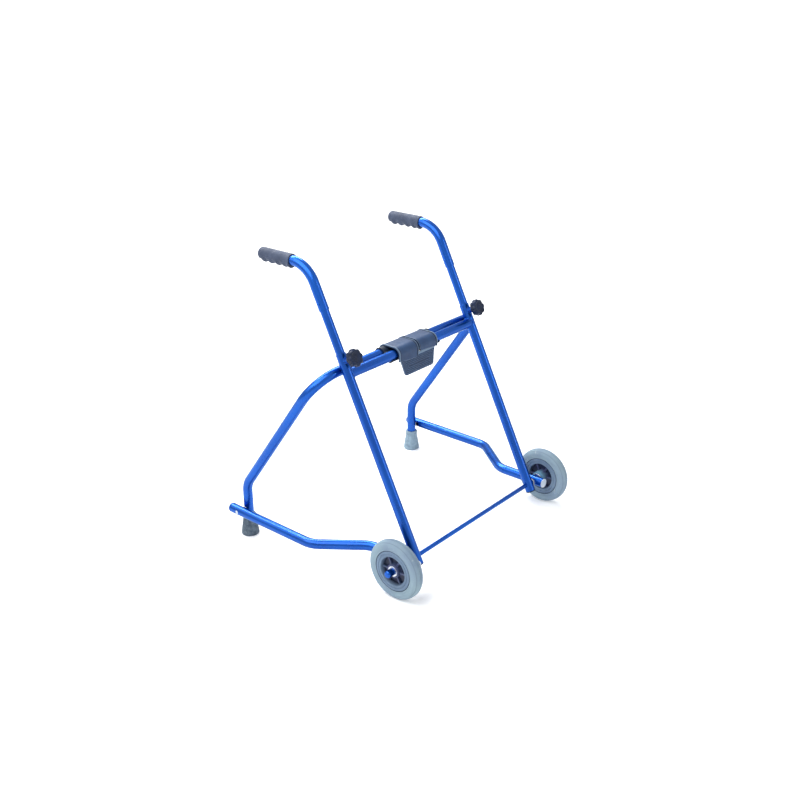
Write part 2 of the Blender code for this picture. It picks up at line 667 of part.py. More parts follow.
def make_foot(side_name, side):
    """A flared rubber ferrule with a blind socket over the end of the leg."""
    socket = flats_at(TUBE_RADIUS + SEAT_GAP, FOOT_SIDES)
    neck = FOOT_NECK_RADIUS + FOOT_LIP
    neck_end = FOOT_HEIGHT - FOOT_NECK
    profile = [(0.0, FOOT_SOLE), (socket, FOOT_SOLE), (socket, FOOT_HEIGHT),
               (neck - FOOT_LIP, FOOT_HEIGHT), (neck, FOOT_HEIGHT - 2 * FOOT_LIP),
               (neck, neck_end + 2 * FOOT_LIP), (FOOT_NECK_RADIUS, neck_end)]
    profile += [(FOOT_BASE_RADIUS, FOOT_BASE_BAND), (FOOT_BASE_RADIUS, FOOT_BASE_CHAMFER),
                (FOOT_BASE_RADIUS - FOOT_BASE_CHAMFER, 0.0), (0.0, 0.0)]
    place(turned("rubber_foot_" + side_name, profile, FOOT_SIDES), "grey_rubber", FOLD,
          (side * LEG_X, LEG_Y - CROSS_Y, -CROSS_Z))


def make_peg(side_name, side):
    """The stud on the outside of a leg that the rail hooks over."""
    bottom = LEG_X + TUBE_RADIUS + SEAT_GAP
    collar = bottom + PEG_COLLAR
    tip = LEG_X + TUBE_RADIUS + PEG_REACH
    chamfer = PEG_RADIUS * 0.2
    profile = [(0.0, tip), (PEG_RADIUS - chamfer, tip), (PEG_RADIUS, tip - chamfer),
               (PEG_RADIUS, collar), (PEG_COLLAR_RADIUS, collar), (PEG_COLLAR_RADIUS, bottom),
               (0.0, bottom)]
    place(turned("leg_peg_" + side_name, profile, HOLE_SIDES), "zinc", FOLD,
          (0.0, LEG_Y - CROSS_Y, AXLE_Z - CROSS_Z), (0.0, side * math.radians(90), 0.0))


def make_handle(side_name, side):
    """A bent handle tube riveted to the stem that slides in an upright."""
    slider = new_empty("handle_slide_" + side_name, (side * UPRIGHT_X, 0.0, 0.0), parent=LEANING)
    level = Vector((0.0, math.cos(LEAN), math.sin(LEAN)))
    corner = Vector((0.0, 0.0, HANDLE_CORNER))
    tube_end = corner + level * (GRIP_FROM_CORNER + GRIP_LENGTH - GRIP_END - SEAT_GAP)
    route = rounded_path([(0.0, 0.0, HANDLE_BOTTOM), corner, tube_end], [HANDLE_BEND_RADIUS])
    handle = tube("handle_tube_" + side_name, route, TUBE_RADIUS, TUBE_WALL)
    place(handle, "blue_paint", slider)
    route = [Vector((0.0, 0.0, UPRIGHT_TOP - STEM_IN_UPRIGHT)),
             Vector((0.0, 0.0, HANDLE_BOTTOM + STEM_IN_HANDLE))]
    stem = tube("handle_stem_" + side_name, route, STEM_RADIUS, STEM_WALL)
    place(stem, "blue_paint", slider)

    rivet_at = (0.0, 0.0, HANDLE_BOTTOM + RIVET_IN_HANDLE)
    hole = round_tool("rivet_hole_" + side_name, RIVET_RADIUS + HOLE_GAP, 4 * TUBE_RADIUS, slider,
                      rivet_at, ALONG_X)
    boolean(handle, hole)
    boolean(stem, hole)
    seat = TUBE_RADIUS + SEAT_GAP
    top = seat + RIVET_HEAD
    head = [(0.0, top), (RIVET_HEAD_RADIUS * 0.7, top - RIVET_HEAD * 0.3), (RIVET_HEAD_RADIUS, seat),
            (RIVET_RADIUS, seat)]
    rivet = turned("handle_rivet_" + side_name, head + [(r, -z) for r, z in reversed(head)],
                   HOLE_SIDES)
    place(rivet, "blue_paint", slider, rivet_at, ALONG_X)
    make_grip(side_name, slider, corner + level * GRIP_FROM_CORNER)


def swell_underside(mesh, first, last):
    """Move a grip's outer rings to its radius, and out to the waves and the stop below."""
    for vertex in mesh.vertices:
        radius = math.hypot(vertex.co.x, vertex.co.y)
        if radius < GRIP_RADIUS - SEAT_GAP:
            continue
        share = (vertex.co.z - last) / (first - last)
        if share >= 0.0:
            wave = (1 - math.cos(2 * math.pi * FINGER_COUNT * share)) / 2
            swell = FINGER_HEIGHT * wave - FINGER_HOLLOW * (1 - wave)
        else:
            swell = radius - GRIP_RADIUS
        under = max(0.0, vertex.co.y / radius)
        reach = (GRIP_RADIUS + swell * under) / radius
        vertex.co.x *= reach
        vertex.co.y *= reach


def make_grip(side_name, slider, start):
    """A soft sleeve with finger waves along its underside and a closed rear end."""
    socket = flats_at(TUBE_RADIUS + SEAT_GAP, GRIP_SIDES)
    first = GRIP_LENGTH - GRIP_EDGE
    last = GRIP_LIP_LENGTH * 7 / 6
    steps = FINGER_STEPS * FINGER_COUNT
    lip = GRIP_RADIUS + GRIP_LIP
    profile = [(0.0, GRIP_LENGTH)] + arc((GRIP_RADIUS - GRIP_EDGE, first), GRIP_EDGE, 75, 0, 3)
    profile += [(GRIP_RADIUS, first + (last - first) * i / steps) for i in range(1, steps + 1)]
    profile += [(lip, GRIP_LIP_LENGTH), (lip, GRIP_LIP_LENGTH / 3), (lip - GRIP_LIP, 0.0),
                (socket, 0.0), (socket, GRIP_LENGTH - GRIP_END), (0.0, GRIP_LENGTH - GRIP_END)]
    grip = turned("grip_" + side_name, profile, GRIP_SIDES)
    swell_underside(grip.data, first, last)
    place(grip, "slate_grip", slider, start, (math.radians(-90) + LEAN, 0.0, 0.0))


def lay_along_x(mesh, x=0.0, y=0.0):
    """Turn a profile drawn in (Y, Z) and extruded along local Z to lie along X."""
    mesh.transform(Matrix(((0, 0, 1, x), (1, 0, 0, y), (0, 1, 0, 0), (0, 0, 0, 1))))


def make_clip_saddle():
    """A ring fixed round the rear cross tube, with an open seat for the front one."""
    rear = (TUBE_PITCH, 0.0)
    outline = arc((0.0, 0.0), CLIP_BORE, SADDLE_SEAT_FROM, SADDLE_SEAT_TO, 11)
    outline += arc((0.0, 0.0), SADDLE_OUTER, SADDLE_SEAT_TO, -90, 4)
    outline += arc(rear, SADDLE_OUTER, -90, 150, 14)
    hole = arc(rear, CLIP_BORE, 0, 360, 2 * TUBE_SIDES)[:-1]
    saddle = extruded("clip_saddle", outline, COVER_HALF_LENGTH + SADDLE_PAST_COVER, [hole])
    lay_along_x(saddle.data)
    place(saddle, "dark_plastic", FOLD)
    for side_name, side in SIDES:
        x = side * (COVER_HALF_LENGTH + SADDLE_PAST_COVER / 2)
        boolean(saddle, round_tool("clip_screw_hole_" + side_name, CLIP_SCREW_RADIUS + HOLE_GAP,
                                   4 * SADDLE_WALL, FOLD, (x, TUBE_PITCH, -CLIP_BORE)))
        make_clip_screw(side_name, x)


def make_clip_screw(side_name, x):
    """A small screw from below through the saddle to the rear cross tube."""
    seat = SADDLE_OUTER + SEAT_GAP
    top = seat + CLIP_SCREW_HEAD
    profile = [(0.0, top), (CLIP_SCREW_HEAD_RADIUS * 0.6, top),
               (CLIP_SCREW_HEAD_RADIUS, seat + CLIP_SCREW_HEAD * 0.4),
               (CLIP_SCREW_HEAD_RADIUS, seat), (CLIP_SCREW_RADIUS, seat),
               (CLIP_SCREW_RADIUS, CLIP_BORE), (0.0, CLIP_BORE)]
    screw = turned("clip_screw_" + side_name, profile, HOLE_SIDES)
    place(screw, "zinc", FOLD, (x, TUBE_PITCH, 0.0), (math.pi, 0.0, 0.0))


def cover_outline(inner, outer, start, skirt):
    """The wrap of the cover: round the rear tube, over both, and down in front."""
    front = (0.0, 0.0)
    rear = (TUBE_PITCH, 0.0)
    over = arc(rear, outer, start, 90, 6) + arc(front, outer, 90, 180, 5)
    under = arc(front, inner, 180, 90, 5) + arc(rear, inner, 90, start, 6)
    return over + [(-outer, -skirt), (-inner, -skirt)] + under


def make_clip_cover():
    """A cover hinged on the rear tube, with a ribbed finger flap at its front edge."""
    wrap = cover_outline(COVER_INNER, COVER_OUTER, COVER_REAR_FROM, COVER_SKIRT)
    cover = extruded("clip_cover", wrap, COVER_HALF_LENGTH)
    lay_along_x(cover.data, y=-TUBE_PITCH)
    place(cover, "slate_plastic", LATCH)
    ridge = cover_outline(COVER_INNER + COVER_WALL / 3, COVER_OUTER + COVER_RIDGE,
                          COVER_REAR_FROM + COVER_RIDGE_TRIM, COVER_SKIRT - COVER_RIDGE)
    lip_x = COVER_HALF_LENGTH - COVER_LIP / 2 - SEAT_GAP
    for name, half, x in (("cover_band", COVER_BAND_HALF, 0.0),
                          ("cover_lip_right", COVER_LIP / 2, -lip_x),
                          ("cover_lip_left", COVER_LIP / 2, lip_x)):
        band = extruded(name, ridge, half)
        lay_along_x(band.data, x, -TUBE_PITCH)
        boolean(cover, as_tool(band, LATCH), "UNION")
    flap = extruded("cover_flap", flap_outline(), COVER_HALF_LENGTH - FLAP_INSET)
    lay_along_x(flap.data, y=-TUBE_PITCH)
    narrow_flap(flap.data)
    boolean(cover, as_tool(flap, LATCH), "UNION")


def narrow_flap(mesh):
    """Draw the flap's sides in evenly, from its inset at the skirt to its inset at the foot."""
    for vertex in mesh.vertices:
        share = max(0.0, -COVER_SKIRT - vertex.co.z) / (FLAP_DROP - COVER_SKIRT)
        inward = (FLAP_FOOT_INSET - FLAP_INSET) * share
        vertex.co.x -= math.copysign(inward, vertex.co.x)


def flap_outline():
    """A strip that hangs inside the skirt and leans out, with level ribs down its front."""
    ribbed = FLAP_DROP - COVER_SKIRT
    pitch = ribbed / (FLAP_RIBS + 0.5)
    strip = [(0.0, FLAP_OVERLAP)]
    for i in range(FLAP_RIBS):
        top = -i * pitch
        strip += [(0.0, top), (FLAP_RIB_HEIGHT, top - pitch / 4),
                  (FLAP_RIB_HEIGHT, top - pitch / 2), (0.0, top - pitch * 3 / 4)]
    strip += [(0.0, -ribbed), (-FLAP_WALL, -ribbed), (-FLAP_WALL, 0.0), (-FLAP_WALL, FLAP_OVERLAP)]
    face = COVER_OUTER - FLAP_SETBACK
    return [(-face - rise - FLAP_LEAN_OUT * max(0.0, -height) / ribbed, height - COVER_SKIRT)
            for rise, height in strip]


make_cross_tube()
make_axle()
make_rear_leg_tube()
make_clip_saddle()
make_clip_cover()
for one_name, one_side in SIDES:
    make_upright(one_name, one_side)
    make_upright_plug(one_name, one_side)
    make_clamp(one_name, one_side)
    make_axle_fittings(one_name, one_side)
    make_wheel(one_name, one_side)
    make_rail(one_name, one_side)
    make_foot(one_name, one_side)
    make_peg(one_name, one_side)
    make_handle(one_name, one_side)
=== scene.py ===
"""Studio picture of a two-wheeled walking frame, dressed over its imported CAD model.

Lengths are metres, +Z is up, the wheels are at -Y and the user's right is at -X.
"""
import math

import bmesh
import bpy
import numpy as np
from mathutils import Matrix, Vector
from mathutils.geometry import tessellate_polygon


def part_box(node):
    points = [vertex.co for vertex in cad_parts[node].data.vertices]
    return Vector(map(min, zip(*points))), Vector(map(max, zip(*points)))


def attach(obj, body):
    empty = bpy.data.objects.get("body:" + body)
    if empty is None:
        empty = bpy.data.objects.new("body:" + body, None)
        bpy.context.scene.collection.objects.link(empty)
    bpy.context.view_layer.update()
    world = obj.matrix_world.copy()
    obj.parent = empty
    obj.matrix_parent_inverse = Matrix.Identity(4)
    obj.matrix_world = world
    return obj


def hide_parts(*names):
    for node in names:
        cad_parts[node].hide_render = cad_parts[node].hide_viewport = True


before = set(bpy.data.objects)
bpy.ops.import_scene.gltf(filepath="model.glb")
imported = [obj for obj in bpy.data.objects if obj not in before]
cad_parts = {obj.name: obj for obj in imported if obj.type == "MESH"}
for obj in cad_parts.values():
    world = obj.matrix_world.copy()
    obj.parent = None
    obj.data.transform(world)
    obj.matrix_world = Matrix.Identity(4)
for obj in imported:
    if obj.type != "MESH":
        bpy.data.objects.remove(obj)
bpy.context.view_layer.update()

# The picture: a camera in front of the frame on the user's right, at chest height, a pale
# studio floor that runs back out of sight, and broad soft lamps.
CAMERA_PLACE = (-1.89238, -1.58392, 1.40743)
CAMERA_TURN = (66.586, 0.2729, -49.753)
CAMERA_LENS = 47.226
SENSOR_WIDTH = 36.0
WHITE = (1.0, 1.0, 1.0, 1.0)
SKY_LIGHT = 0.38
FLOOR_HALF = 60.0
FLOOR_COLOUR = (0.93, 0.94, 0.96, 1.0)
FLOOR_GLOW = (0.22, 0.75)
FLOOR_GLOW_REACH = (0.9, 3.0)
# Each lamp has a name, place, target, width, height and watts.
LAMPS = (("overhead_lamp", (-1.3, 0.1, 2.2), (0.0, 0.0, 0.3), 2.4, 1.8, 46.0),
         ("left_lamp", (-2.4, 0.4, 1.6), (0.0, 0.0, 0.4), 0.5, 1.6, 3.0),
         ("front_lamp", (0.9, -2.6, 1.4), (0.0, 0.0, 0.35), 0.6, 1.6, 16.0),
         ("corner_lamp", (-1.7, 1.5, 1.9), (0.0, 0.0, 0.7), 1.8, 1.2, 9.0),
         ("back_lamp", (0.6, 1.7, 2.4), (0.0, 0.0, 0.6), 2.6, 1.0, 105.0))


def placed(name, data):
    """An object of the scene that holds the data, at the origin."""
    thing = bpy.data.objects.new(name, data)
    bpy.context.scene.collection.objects.link(thing)
    return thing


def set_inputs(node, values):
    """Gives a node its inputs: each value is a number or colour, or a socket to link."""
    for socket, value in values.items():
        if isinstance(value, bpy.types.NodeSocket):
            node.id_data.links.new(value, node.inputs[socket])
        else:
            node.inputs[socket].default_value = value


def add_node(tree, kind, values=None, **settings):
    """A new node with its settings and inputs."""
    node = tree.nodes.new(kind)
    for name, value in settings.items():
        setattr(node, name, value)
    set_inputs(node, values or {})
    return node


def make_camera():
    data = bpy.data.cameras.new("picture_camera")
    data.lens = CAMERA_LENS
    data.sensor_width = SENSOR_WIDTH
    data.clip_end = 2 * FLOOR_HALF
    camera = placed("picture_camera", data)
    camera.location = CAMERA_PLACE
    camera.rotation_euler = np.radians(CAMERA_TURN)
    bpy.context.scene.camera = camera
    bpy.context.scene.view_settings.view_transform = "Standard"


def make_world():
    """Soft even light on the frame, and plain white to the camera and in reflections."""
    world = bpy.data.worlds.new("studio_air")
    world.use_nodes = True
    tree = world.node_tree
    tree.nodes.clear()
    rays = add_node(tree, "ShaderNodeLightPath").outputs
    seen = rays["Is Camera Ray"]
    for way in ("Is Glossy Ray", "Is Transmission Ray"):
        seen = add_node(tree, "ShaderNodeMath", {0: seen, 1: rays[way]},
                        operation="MAXIMUM").outputs[0]
    level = add_node(tree, "ShaderNodeMapRange", {"Value": seen, "To Min": SKY_LIGHT})
    sky = add_node(tree, "ShaderNodeBackground",
                   {"Color": WHITE, "Strength": level.outputs["Result"]})
    add_node(tree, "ShaderNodeOutputWorld", {"Surface": sky.outputs[0]})
    bpy.context.scene.world = world


def make_floor():
    """A plain pale sheet under the wheels and feet, which glows white far from them.

    The glow rises smoothly with the distance from the middle, past the frame's own shadow.
    """
    corners = FLOOR_HALF * np.array([(-1, -1, 0), (1, -1, 0), (1, 1, 0), (-1, 1, 0)], float)
    mesh = bpy.data.meshes.new("studio_floor")
    mesh.from_pydata(corners.tolist(), [], [(0, 1, 2, 3)])
    floor = placed("studio_floor", mesh)
    material = bpy.data.materials.new("floor_paper")
    material.use_nodes = True
    tree = material.node_tree
    place = add_node(tree, "ShaderNodeTexCoord").outputs["Object"]
    far = add_node(tree, "ShaderNodeVectorMath", {0: place}, operation="LENGTH")
    (low, high), (near, past) = FLOOR_GLOW, FLOOR_GLOW_REACH
    glow = add_node(tree, "ShaderNodeMapRange",
                    {"Value": far.outputs["Value"], "From Min": near, "From Max": past,
                     "To Min": low, "To Max": high}, interpolation_type="SMOOTHSTEP")
    set_inputs(tree.nodes["Principled BSDF"],
               {"Base Color": FLOOR_COLOUR, "Roughness": 0.9, "Specular IOR Level": 0.0,
                "Emission Color": WHITE, "Emission Strength": glow.outputs["Result"]})
    mesh.materials.append(material)


def make_lamp(name, place, target, width, height, power):
    """A soft rectangular lamp at a place, turned towards a target."""
    data = bpy.data.lights.new(name, "AREA")
    data.shape = "RECTANGLE"
    data.size = width
    data.size_y = height
    data.energy = power
    lamp = placed(name, data)
    lamp.location = place
    away = Vector(place) - Vector(target)
    lamp.rotation_euler = away.to_track_quat("Z", "Y").to_euler()


make_camera()
make_world()
make_floor()
for lamp in LAMPS:
    make_lamp(*lamp)

# Uprights: two leaning 25 mm steel tubes, painted gloss blue, with the wheels at the bottom
# and the stems of the handles sliding in the top. The CAD boxes give the axle's place and how
# far apart the uprights stand.
LEAN = math.radians(26.4)
TUBE_RADIUS = 0.0125
TUBE_WALL = 0.0012
TUBE_LIP = 0.0004
TUBE_SIDES = 56
SHARP_EDGE = math.radians(40)
ACROSS = np.array((1.0, 0.0, 0.0))
UP = np.array((0.0, math.sin(LEAN), math.cos(LEAN)))
AXLE = np.mean(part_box("axle_rod"), axis=0) * (0, 1, 1)
UPRIGHT_X = float(np.mean(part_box("upright_left"), axis=0)[0])
UPRIGHT_BELOW_AXLE = 0.019
UPRIGHT_TOP = 0.513
SIDES = (("right", -1.0), ("left", 1.0))
PAINT_BLUE = (0.001, 0.071, 0.390, 1.0)
PAINT_DEEP = (0.001, 0.054, 0.315, 1.0)
PAINT_RUBBED = (0.03, 0.14, 0.56, 1.0)
PAINT_SHEEN = (0.30, 0.60, 0.70, 1.0)
SKIN_DEPTH = 0.0004


def leaning(x, up):
    """A place in the plane of the uprights: x across, and up along them from the axle."""
    return AXLE + x * ACROSS + up * UP


def unit(vectors):
    return vectors / np.linalg.norm(vectors, axis=-1, keepdims=True)


def full_turn(sides):
    """Even turns round a circle, the last one short of the first."""
    return np.linspace(0, 2 * math.pi, sides, endpoint=False)


def made_mesh(points, faces):
    mesh = bpy.data.meshes.new("surface")
    mesh.from_pydata(points.tolist(), [], faces)
    return mesh


def closed_mesh(rings, looped=True):
    """Mesh of a grid of points, rows of closed rings.

    A looped grid also joins its last ring to its first.  Any other starts and ends in one
    point, with a fan of triangles.  The faces are turned so that the enclosed volume, the
    sum of a . (b x c) / 6 over its triangles, is positive, which makes them point outwards.
    """
    rows, sides = rings.shape[:2]
    if looped:
        points = rings.reshape(-1, 3)
        index = np.arange(rows * sides).reshape(rows, sides)
        index = np.vstack([index, index[:1]])
        fans = np.zeros((0, 3), int)
    else:
        points = np.vstack([rings[0, :1], rings[1:-1].reshape(-1, 3), rings[-1, :1]])
        index = 1 + np.arange((rows - 2) * sides).reshape(rows - 2, sides)
        first = np.stack([np.roll(index[0], -1), index[0], np.zeros(sides, int)], axis=1)
        end = np.full(sides, len(points) - 1)
        last = np.stack([index[-1], np.roll(index[-1], -1), end], axis=1)
        fans = np.vstack([first, last])
    near, far = index[:-1], index[1:]
    quads = np.stack([near, np.roll(near, -1, 1), np.roll(far, -1, 1), far], axis=-1).reshape(-1, 4)
    triangles = np.vstack([quads[:, [0, 1, 2]], quads[:, [0, 2, 3]], fans])
    a, b, c = (points[triangles[:, i]] for i in range(3))
    if np.sum(a * np.cross(b, c)) < 0:
        quads = quads[:, ::-1]
        fans = fans[:, ::-1]
    return made_mesh(points, quads.tolist() + fans.tolist())


def new_piece(name, mesh, material):
    """An object at the origin, smooth shaded but for its sharp edges."""
    mesh.name = name
    mesh.materials.append(material)
    mesh.shade_smooth()
    mesh.set_sharp_from_angle(angle=SHARP_EDGE)
    return placed(name, mesh)


def swept(centres, n, b, radii, sides):
    """Rings about a run of centres: each point is centre + r (n cos a + b sin a)."""
    turn = full_turn(sides)[:, None]
    spokes = n[:, None] * np.cos(turn) + b[:, None] * np.sin(turn)
    return centres[:, None] + radii[:, None, None] * spokes


def pipe(route, square, radius, wall):
    """Rings of a hollow tube: out along the route at the outer radius, back at the bore.

    They are set out by the vector "square" made square to the tangent, and by the tangent
    crossed with that.  Both ends have a small rounded lip.
    """
    runs = unit(np.diff(route, axis=0))
    tangent = unit(np.vstack([runs[:1], runs[:-1] + runs[1:], runs[-1:]]))
    n = unit(np.array(square) - (tangent @ np.array(square))[:, None] * tangent)
    b = np.cross(tangent, n)
    quarter = np.linspace(0, math.pi / 2, 4)
    lip = list(zip(TUBE_LIP * np.sin(quarter), radius - TUBE_LIP * (1 - np.cos(quarter[::-1]))))
    start = [(0, shift, size) for shift, size in lip]
    end = [(-1, -shift, size) for shift, size in lip[::-1]]
    middle = [(i, 0.0, radius) for i in range(1, len(route) - 1)]
    bore = [(i, 0.0, radius - wall) for i in range(len(route))][::-1]
    rows = start + middle + end + bore
    at, shift, size = (np.array(column) for column in zip(*rows))
    return swept(route[at] + shift[:, None] * tangent[at], n[at], b[at], size, TUBE_SIDES)


def new_group(name, inputs, outputs):
    """An empty node group with named sockets: its tree, what it is given, its output node."""
    tree = bpy.data.node_groups.new(name, "ShaderNodeTree")
    for socket, (kind, value) in inputs.items():
        tree.interface.new_socket(socket, in_out="INPUT", socket_type=kind).default_value = value
    for socket, kind in outputs.items():
        tree.interface.new_socket(socket, in_out="OUTPUT", socket_type=kind)
    return tree, tree.nodes.new("NodeGroupInput").outputs, tree.nodes.new("NodeGroupOutput")


def object_place(tree):
    """The place on the piece, in its own coordinates."""
    return add_node(tree, "ShaderNodeTexCoord").outputs["Object"]


def object_noise(tree, scale, detail, roughness=0.55):
    """Noise over the piece's own coordinates."""
    return add_node(tree, "ShaderNodeTexNoise",
                    {"Vector": object_place(tree), "Scale": scale, "Detail": detail,
                     "Roughness": roughness}).outputs["Fac"]


def ramped(tree, value, low, high, to_low=0.0, to_high=1.0):
    """A value stretched from one range to another, clamped."""
    return add_node(tree, "ShaderNodeMapRange",
                    {"Value": value, "From Min": low, "From Max": high, "To Min": to_low,
                     "To Max": to_high}).outputs["Result"]


def mixed(tree, share, first, second):
    """Two colours mixed by a share."""
    return add_node(tree, "ShaderNodeMix", {"Factor": share, 6: first, 7: second},
                    data_type="RGBA").outputs[2]


def worked_out(tree, operation, first, second):
    """A sum or product of two values."""
    return add_node(tree, "ShaderNodeMath", {0: first, 1: second}, operation=operation).outputs[0]


def make_patches_group():
    """Soft patches of a second colour and of a second roughness, from two noises."""
    number, colour = "NodeSocketFloat", "NodeSocketColor"
    tree, given, result = new_group(
        "soft_patches",
        {"Colour": (colour, (0.5, 0.5, 0.5, 1.0)), "Second Colour": (colour, (0.4, 0.4, 0.4, 1.0)),
         "Scale": (number, 10.0), "Smooth": (number, 0.3), "Rough": (number, 0.5)},
        {"Colour": colour, "Roughness": number})
    share = ramped(tree, object_noise(tree, given["Scale"], 3.0), 0.35, 0.65)
    finer = object_noise(tree, worked_out(tree, "MULTIPLY", given["Scale"], 2.7), 4.0)
    set_inputs(result, {
        "Colour": mixed(tree, share, given["Colour"], given["Second Colour"]),
        "Roughness": ramped(tree, finer, 0.35, 0.65, given["Smooth"], given["Rough"])})
    return tree


def make_rub_group():
    """Small rubbed spots: the peaks of a rough noise, inside the peaks of a slow one."""
    number = "NodeSocketFloat"
    tree, given, result = new_group(
        "rubbed_spots", {"Scale": (number, 60.0), "Threshold": (number, 0.62)}, {"Mask": number})
    spots = object_noise(tree, given["Scale"], 9.0, 0.72)
    past = worked_out(tree, "ADD", given["Threshold"], 0.05)
    sharp = ramped(tree, spots, given["Threshold"], past)
    slow = ramped(tree, object_noise(tree, 9.0, 1.0), 0.48, 0.60)
    set_inputs(result, {"Mask": worked_out(tree, "MULTIPLY", sharp, slow)})
    return tree


def make_grain_group():
    """Height of a moulded or sprayed skin: fine noise with small round cells in it."""
    number = "NodeSocketFloat"
    tree, given, result = new_group(
        "skin_grain", {"Scale": (number, 900.0), "Cells": (number, 0.3)}, {"Height": number})
    cells = add_node(tree, "ShaderNodeTexVoronoi",
                     {"Vector": object_place(tree), "Scale": given["Scale"]})
    height = add_node(tree, "ShaderNodeMix",
                      {"Factor": given["Cells"], 2: object_noise(tree, given["Scale"], 3.0),
                       3: cells.outputs["Distance"]})
    set_inputs(result, {"Height": height.outputs[0]})
    return tree


PATCHES = make_patches_group()
RUBBED = make_rub_group()
GRAIN = make_grain_group()


def principled(material):
    return material.node_tree.nodes["Principled BSDF"]


def new_finish(name, colour, second, patch, smooth, rough, grain, cells, bump, worn=None,
               worn_from=0.62):
    """A material of soft patches, skin grain and, where given, rubbed spots.

    Its colour is patches(colour, second), mixed to the worn colour by the rub mask, and its
    roughness runs from smooth to rough.  Patch and grain are counts a metre.
    """
    material = bpy.data.materials.new(name)
    material.use_nodes = True
    tree = material.node_tree
    patches = add_node(tree, "ShaderNodeGroup",
                       {"Colour": colour, "Second Colour": second, "Scale": patch,
                        "Smooth": smooth, "Rough": rough}, node_tree=PATCHES).outputs
    tint = patches["Colour"]
    if worn:
        mask = add_node(tree, "ShaderNodeGroup", {"Threshold": worn_from}, node_tree=RUBBED)
        tint = mixed(tree, mask.outputs["Mask"], tint, worn)
    skin = add_node(tree, "ShaderNodeGroup", {"Scale": grain, "Cells": cells}, node_tree=GRAIN)
    relief = add_node(tree, "ShaderNodeBump", {"Strength": bump, "Distance": SKIN_DEPTH,
                                               "Height": skin.outputs["Height"]})
    set_inputs(principled(material),
               {"Base Color": tint, "Roughness": patches["Roughness"],
                "Normal": relief.outputs["Normal"], "Specular IOR Level": 0.22})
    return material


def make_paint():
    """Sprayed gloss paint: clear coat over flaked blue, orange peel, a few rubbed spots."""
    material = new_finish("blue_paint_gloss", PAINT_BLUE, PAINT_DEEP, patch=7.0, smooth=0.24,
                          rough=0.34, grain=420.0, cells=0.1, bump=0.05, worn=PAINT_RUBBED,
                          worn_from=0.68)
    set_inputs(principled(material),
               {"Metallic": 0.85, "Specular IOR Level": 1.0, "Specular Tint": PAINT_SHEEN,
                "Coat Weight": 0.30, "Coat Roughness": 0.10})
    return material


PAINT = make_paint()
for side_name, side in SIDES:
    ends = [leaning(side * UPRIGHT_X, up) for up in (-UPRIGHT_BELOW_AXLE, UPRIGHT_TOP)]
    rings = pipe(np.linspace(*ends, 5), ACROSS, TUBE_RADIUS, TUBE_WALL)
    upright = new_piece("upright_tube_" + side_name, closed_mesh(rings), PAINT)
    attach(upright, "front_frame")
    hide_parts("upright_" + side_name)

# Upright plugs: dark moulded plastic plugs pressed into the bottom of each upright, with a
# thin rounded head that covers the tube's end.
PLUG_DARK = (0.010, 0.020, 0.042, 1.0)
PLUG_DARKER = (0.006, 0.013, 0.028, 1.0)
TURNED_SIDES = 48
BORE_RADIUS = TUBE_RADIUS - TUBE_WALL
SEAT_GAP = 0.0003


def eased(profile, radius, steps=4):
    """A profile with each inner corner eased by the curve (1-t)^2 a + 2t(1-t) corner + t^2 b."""
    profile = np.array(profile, float)
    points = [profile[:1]]
    t = np.linspace(0, 1, steps + 1)[:, None]
    for before, corner, after in zip(profile, profile[1:], profile[2:]):
        back, on = before - corner, after - corner
        near, far = np.linalg.norm(back), np.linalg.norm(on)
        reach = min(radius, 0.45 * near, 0.45 * far)
        a, b = corner + back * reach / near, corner + on * reach / far
        points.append((1 - t) ** 2 * a + 2 * t * (1 - t) * corner + t ** 2 * b)
    points.append(profile[-1:])
    return np.vstack(points)


def turned(profile, centre, axis, sides=TURNED_SIDES):
    """Rings of a profile of (radius, height) turned about an axis."""
    radius, height = np.array(profile, float).T
    axis = unit(np.array(axis, float))
    p = unit(np.cross(axis, np.array((0.31, 0.52, 0.79))))
    return swept(centre + height[:, None] * axis, p[None], np.cross(axis, p)[None], radius, sides)


def turned_mesh(profile, centre, axis, sides=TURNED_SIDES):
    """A solid turned from a profile that starts and ends on the axis."""
    return closed_mesh(turned(profile, centre, axis, sides), looped=False)


def plug_line(height, edge, depth, ease):
    """A tube plug's section: a head that covers the tube's end, and a shank in its bore."""
    shank = BORE_RADIUS - SEAT_GAP
    return eased([(0, height), (TUBE_RADIUS - edge, height), (TUBE_RADIUS, SEAT_GAP),
                  (shank, SEAT_GAP), (shank, -depth), (0, -depth)], ease)


DARK_PLASTIC = new_finish("dark_moulded_plastic", PLUG_DARK, PLUG_DARKER, patch=40.0,
                          smooth=0.38, rough=0.55, grain=1400.0, cells=0.3, bump=0.12)
for side_name, side in SIDES:
    line = plug_line(height=0.0028, edge=0.0004, depth=0.008, ease=0.0008)
    foot = leaning(side * UPRIGHT_X, -UPRIGHT_BELOW_AXLE)
    plug = new_piece("upright_end_plug_" + side_name, turned_mesh(line, foot, -UP), DARK_PLASTIC)
    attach(plug, "front_frame")
    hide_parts("upright_plug_" + side_name)

# Front cross tube: a 25 mm painted tube whose ends are coped to the round uprights and
# welded all round. The bead is a small round run of weld under the paint.
CROSS = np.mean(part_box("front_cross_tube"), axis=0) * (0, 1, 1)
FRONT = np.array((0.0, -math.cos(LEAN), math.sin(LEAN)))
WELD_RADIUS = 0.0019
WELD_RIPPLE = 0.00022
WELD_RIPPLES = 40
WELD_SIDES = 12
WELD_STEPS = 240


def round_way(turn, first, second):
    """Directions round a circle: first cos a + second sin a."""
    return np.cos(turn)[:, None] * first + np.sin(turn)[:, None] * second


